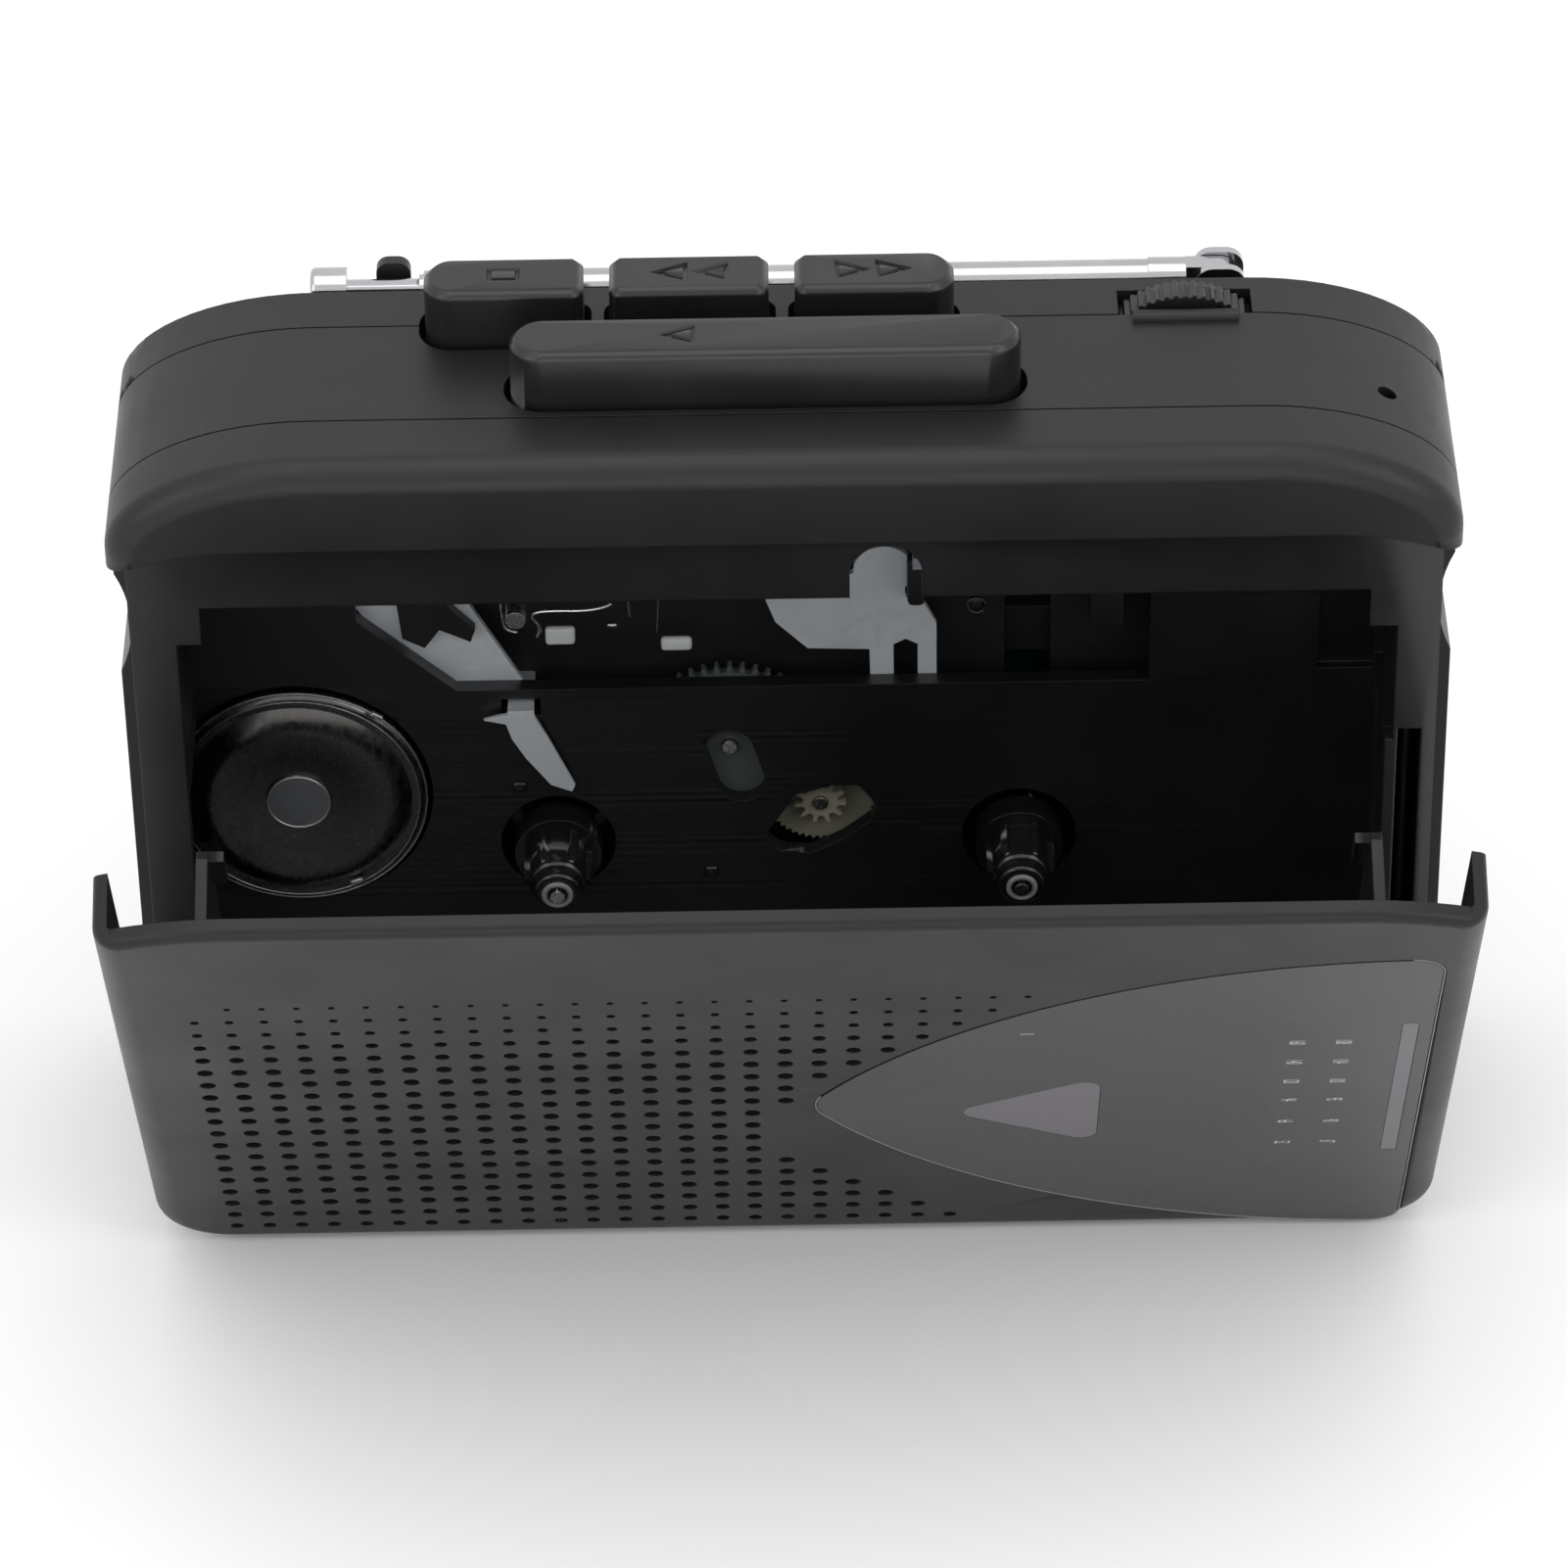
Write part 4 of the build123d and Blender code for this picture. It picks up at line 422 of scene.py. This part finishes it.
# Small parts round the head: wire springs hooked over the capstan and on the carriage, two nylon pads, a
# black stop post, a screw and a switch on the board, and two rivets in the well floor.
nylon_pad = moulded("nylon_pad", (0.55, 0.57, 0.58), 0.45, depth=0.002)
wire("head_spring", [(-15.6, 15.9, 13.5), (-16.8, 16.7, 13.5), (-22.3, 16.5, 13.5), (-22.9, 17.2, 13.4),
                     (-21.9, 18.6, 13.4), (-22.4, 19.4, 13.4)], 0.16, steel, "casing")
wire("head_spring_hook", [(-25.6, 14.9, 13.5), (-25.5, 18.2, 13.5), (-24.9, 18.8, 13.5), (-24.2, 18.9, 13.5)],
     0.12, steel, "casing")
wire("carriage_wire_left", [(-14.2, 14.9, 13.8), (-14.0, 17.6, 13.8)], 0.11, steel, "head_carriage")
wire("carriage_wire_right", [(-11.3, 14.9, 14.2), (-11.6, 19.6, 14.2)], 0.07, steel, "head_carriage")
bent_tab("nylon_pad_left", (-20.4, 21.0, 15.8), (2.7, 1.9, 0.8), nylon_pad, "casing", 0.35)
bent_tab("nylon_pad_right", (-9.9, 22.1, 15.8), (2.8, 1.4, 0.8), nylon_pad, "casing", 0.35)
bent_tab("guide_pin_head", (-15.6, 18.0, 13.2), (0.9, 0.5, 0.6), steel, "casing", 0.2)
bent_tab("stop_post", (11.8, 14.3, 14.6), (1.6, 5.2, 2.2), inner_black, "casing", 0.5)
ring("board_screw_ring", (17.3, 18.0, 15.2), 0.8, 0.12, screw_black, "casing")
bent_tab("board_screw", (17.3, 18.0, 15.6), (1.3, 1.3, 0.7), inner_black, "casing", 0.3)
bent_tab("switch_box", (29.1, 18.6, 16.6), (3.0, 5.0, 1.6), inner_black, "casing", 0.15)
for number, (x, drop) in enumerate(((-7.2, 47.7), (-24.6, 37.5))):
    bent_tab("floor_rivet_%d" % (number + 1), (x, drop, 14.9), (1.3, 1.3, 0.8), spindle_black, "casing", 0.38)

# Keys: black ABS, glossier than the case, with signs sunk in their tops. Each stands on its own wound steel
# spring.
key_black = moulded("key_black", (0.009, 0.009, 0.0095), 0.3, depth=0.003, specular=0.5, edge=0.2)
for node in ("play_key", "stop_key", "fast_forward_key", "rewind_key"):
    dressed(node, key_black)
for key in ("play", "stop", "fast_forward", "rewind"):
    spring = dressed(key + "_spring", steel, sharp=60)
    foot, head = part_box(key + "_spring")
    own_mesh(spring)

# Circuit board: glass fibre with green solder mask, screwed down behind the mechanism, and the black
# parts that are soldered to it.
board_green = moulded("solder_mask_green", (0.004, 0.05, 0.03), 0.3, depth=0.004)
part_black = moulded("component_black", (0.01, 0.01, 0.01), 0.4)
dressed("circuit_board", board_green)
for node in ("board_components", "volume_base", "microphone", "earphone_jack"):
    dressed(node, part_black)

# Thumbwheels, switch knob and tuning pointer: the wheels and the knob are black ABS, and the pointer that
# the tuning wheel drives is red, so that it shows in its slot.
pointer_red = moulded("pointer_red", (0.6, 0.05, 0.02), 0.4)
for node in ("volume_wheel", "tuning_wheel", "function_knob"):
    dressed(node, key_black)
dressed("tuning_pointer", pointer_red)

# Loudspeaker and ferrite rod: a pressed basket with a black paper cone behind the rear grille, and a
# sintered rod that carries the radio's coil.
cone_paper = moulded("cone_paper", (0.02, 0.02, 0.02), 0.8, grain=0.5, depth=0.02)
ferrite = moulded("ferrite_grey", (0.05, 0.045, 0.04), 0.6)
dressed("speaker_frame", inner_black)
dressed("speaker_cone", cone_paper)
dressed("ferrite_rod", ferrite)

# Telescopic aerial: chromed brass tubes that slide in each other, on a chromed fork that is screwed to
# the rear shell.
chrome = metal("aerial_chrome", (0.5, 0.5, 0.515), 0.12, brush_depth=0.0)
for node in ("aerial_fork", "aerial_tube", "aerial_mid_tube", "aerial_tip_rod"):
    dressed(node, chrome)

# Cassette door: a thin grained shell with a drilled grille, two cassette guides inside, and a smoked
# insert with a cassette window and a dial.
door_black = moulded("door_black_grained", (0.0092, 0.0089, 0.0096), 0.4, specular=0.32)
label_smoke = moulded("label_smoked", (0.02, 0.019, 0.0205), 0.25, depth=0.001)
# The cassette window is an opaque mauve grey: a painted shade that stands for the shaded floor seen through
# the smoked window.
window_painted_shade = moulded("window_painted_shade", (0.11, 0.1, 0.115), 0.3, depth=0.001)
dressed("door_shell", door_black)
dressed("cassette_guides", inner_black)
dressed("door_label", label_smoke)
dressed("door_windows", window_painted_shade)

# Dial print: two columns of plain numbers in pale ink, each turned a quarter to read downwards, printed
# on the smoked insert and carried by the door, which stands open.
ink = moulded("dial_ink", (0.5, 0.5, 0.5), 0.5, depth=0.0, edge=0)
hinge = Vector((0, -7.85, 4.42)) * MM
door_open = radians(29.1)
swing = Matrix.Translation(hinge) @ Matrix.Rotation(door_open, 4, "X") @ Matrix.Translation(-hinge)
digit_w = 0.3
digit_h = 1.45
drops = (28.5, 33.2, 37.9, 42.5, 47.9, 53.2)
for column, (x, numbers) in enumerate(((44.5, "160 140 120 94 66 52"), (48.6, "108 104 100 95 90 87"))):
    for drop, number in zip(drops, numbers.split()):
        name = "dial_number_" + number
        line = bpy.data.curves.new(name, "FONT")
        line.body = number
        line.size = 1.0
        draft = bpy.data.objects.new(name + "_line", line)
        mesh = bpy.data.meshes.new_from_object(draft)
        bpy.data.objects.remove(draft)
        low = Vector([min(v.co[k] for v in mesh.vertices) for k in range(3)])
        high = Vector([max(v.co[k] for v in mesh.vertices) for k in range(3)])
        length = digit_w * len(number) * MM
        for v in mesh.vertices:
            along = ((v.co.x - low.x) / (high.x - low.x) - 0.5) * length
            across = ((v.co.y - low.y) / (high.y - low.y) - 0.5) * digit_h * MM
            v.co = swing @ (spot(x, drop, -0.012) + Vector((across, 0, -along)))
        shown(name, mesh, ink, "door")

# Label edge: a fine pale line along the groove at the cut edge of the smoked insert, and a small pale mark by
# the window, both painted highlights. Each arc has a middle place where its end tangents meet.
pale_painted_highlight = moulded("label_edge_painted_highlight", (0.2, 0.2, 0.205), 0.3, depth=0.0, edge=0)
arcs = ((53.5, 12.52, 2.85, -91, 0), (53.5, 71.28, 2.85, 0, 91), (55.0, 13.3, 60.85, 91.6, 149.2),
        (6.85, 41.9, 4.85, 149.4, 205))
outline, shares = [], []
for x, drop, radius, start, end in arcs:
    bend = cos(radians(end - start) / 2)
    middle = (start + end) / 2
    for turn, reach, share in ((start, radius, 1), (middle, radius / bend, bend), (end, radius, 1)):
        outline.append((x + reach * cos(radians(turn)), drop + reach * sin(radians(turn)), 0.02))
        shares.append(share)
    outline.append(outline[-1])
    shares.append(1)
cut_edge = wire("label_edge_painted_highlight", outline[:-1], 0.06, pale_painted_highlight, "door", shares[:-1])
fleck = bent_tab("label_fleck_painted_highlight", (20.6, 25.4, 0.12), (1.3, 0.35, 0.3), pale_painted_highlight, "door", 0.1)
for piece in (cut_edge, fleck):
    piece.data.transform(swing)

# Setting: a pale floor, a plain soft studio light and the camera at the photograph's angle.
floor_mesh = bpy.data.meshes.new("studio_floor")
form = bmesh.new()
bmesh.ops.create_grid(form, x_segments=1, y_segments=1, size=4.0)
form.to_mesh(floor_mesh)
form.free()
floor = bpy.data.objects.new("studio_floor", floor_mesh)
bpy.context.scene.collection.objects.link(floor)
floor_paint = bpy.data.materials.new("floor_white")
tree, shader, node = wire_up(floor_paint)
shader.inputs["Base Color"].default_value = (0.86, 0.86, 0.86, 1)
shader.inputs["Roughness"].default_value = 0.9
shader.inputs["Specular IOR Level"].default_value = 0.1
floor_mesh.materials.append(floor_paint)


def softbox(name, place, aim, size, power):
    """One square studio lamp behind a diffuser."""
    lamp = bpy.data.lights.new(name, "AREA")
    lamp.shape = "SQUARE"
    lamp.size = size
    lamp.energy = power
    holder = bpy.data.objects.new(name, lamp)
    bpy.context.scene.collection.objects.link(holder)
    holder.location = place
    holder.rotation_euler = (Vector(aim) - Vector(place)).to_track_quat("-Z", "Y").to_euler()
    return holder


softbox("overhead_softbox", (0.0, -0.1, 1.1), (0, 0, 0.04), 0.9, 3.0)
softbox("low_front_softbox", (0.0, -1.2, 0.15), (0, 0, 0.04), 0.5, 1.2)
softbox("front_left_softbox", (-0.8, -0.7, 0.8), (0, 0, 0.04), 0.6, 2.2)
softbox("front_right_softbox", (0.8, -0.6, 0.8), (0, 0, 0.04), 0.6, 2.2)

world = bpy.data.worlds.new("studio")
bpy.context.scene.world = world
world.use_nodes = True
tree = world.node_tree
link = tree.links.new
sky = tree.nodes["Background"]
path = tree.nodes.new("ShaderNodeLightPath")
seen = tree.nodes.new("ShaderNodeMath")
seen.operation = "MAXIMUM"
link(path.outputs["Is Camera Ray"], seen.inputs[0])
link(path.outputs["Is Glossy Ray"], seen.inputs[1])
also = tree.nodes.new("ShaderNodeMath")
also.operation = "MAXIMUM"
link(seen.outputs[0], also.inputs[0])
link(path.outputs["Is Transmission Ray"], also.inputs[1])
level = tree.nodes.new("ShaderNodeMapRange")
level.inputs["To Min"].default_value = 1.03
level.inputs["To Max"].default_value = 1.0
link(also.outputs[0], level.inputs["Value"])
link(level.outputs["Result"], sky.inputs["Strength"])
sky.inputs["Color"].default_value = (1, 1, 1, 1)

pitch_down = radians(37.457)
roll = -0.0165
camera_place = Vector((-0.36, -553.46, 463.93)) * MM
camera_lens = bpy.data.cameras.new("photo_camera")
camera_lens.sensor_width = 36.0
camera_lens.lens = 173.35
camera_lens.clip_start = 0.01
camera_lens.clip_end = 20.0
camera = bpy.data.objects.new("photo_camera", camera_lens)
bpy.context.scene.collection.objects.link(camera)
camera.matrix_world = (Matrix.Translation(camera_place)
                       @ Matrix.Rotation(pi / 2 - pitch_down, 4, "X") @ Matrix.Rotation(roll, 4, "Z"))
bpy.context.scene.camera = camera
bpy.context.scene.view_settings.view_transform = "Standard"
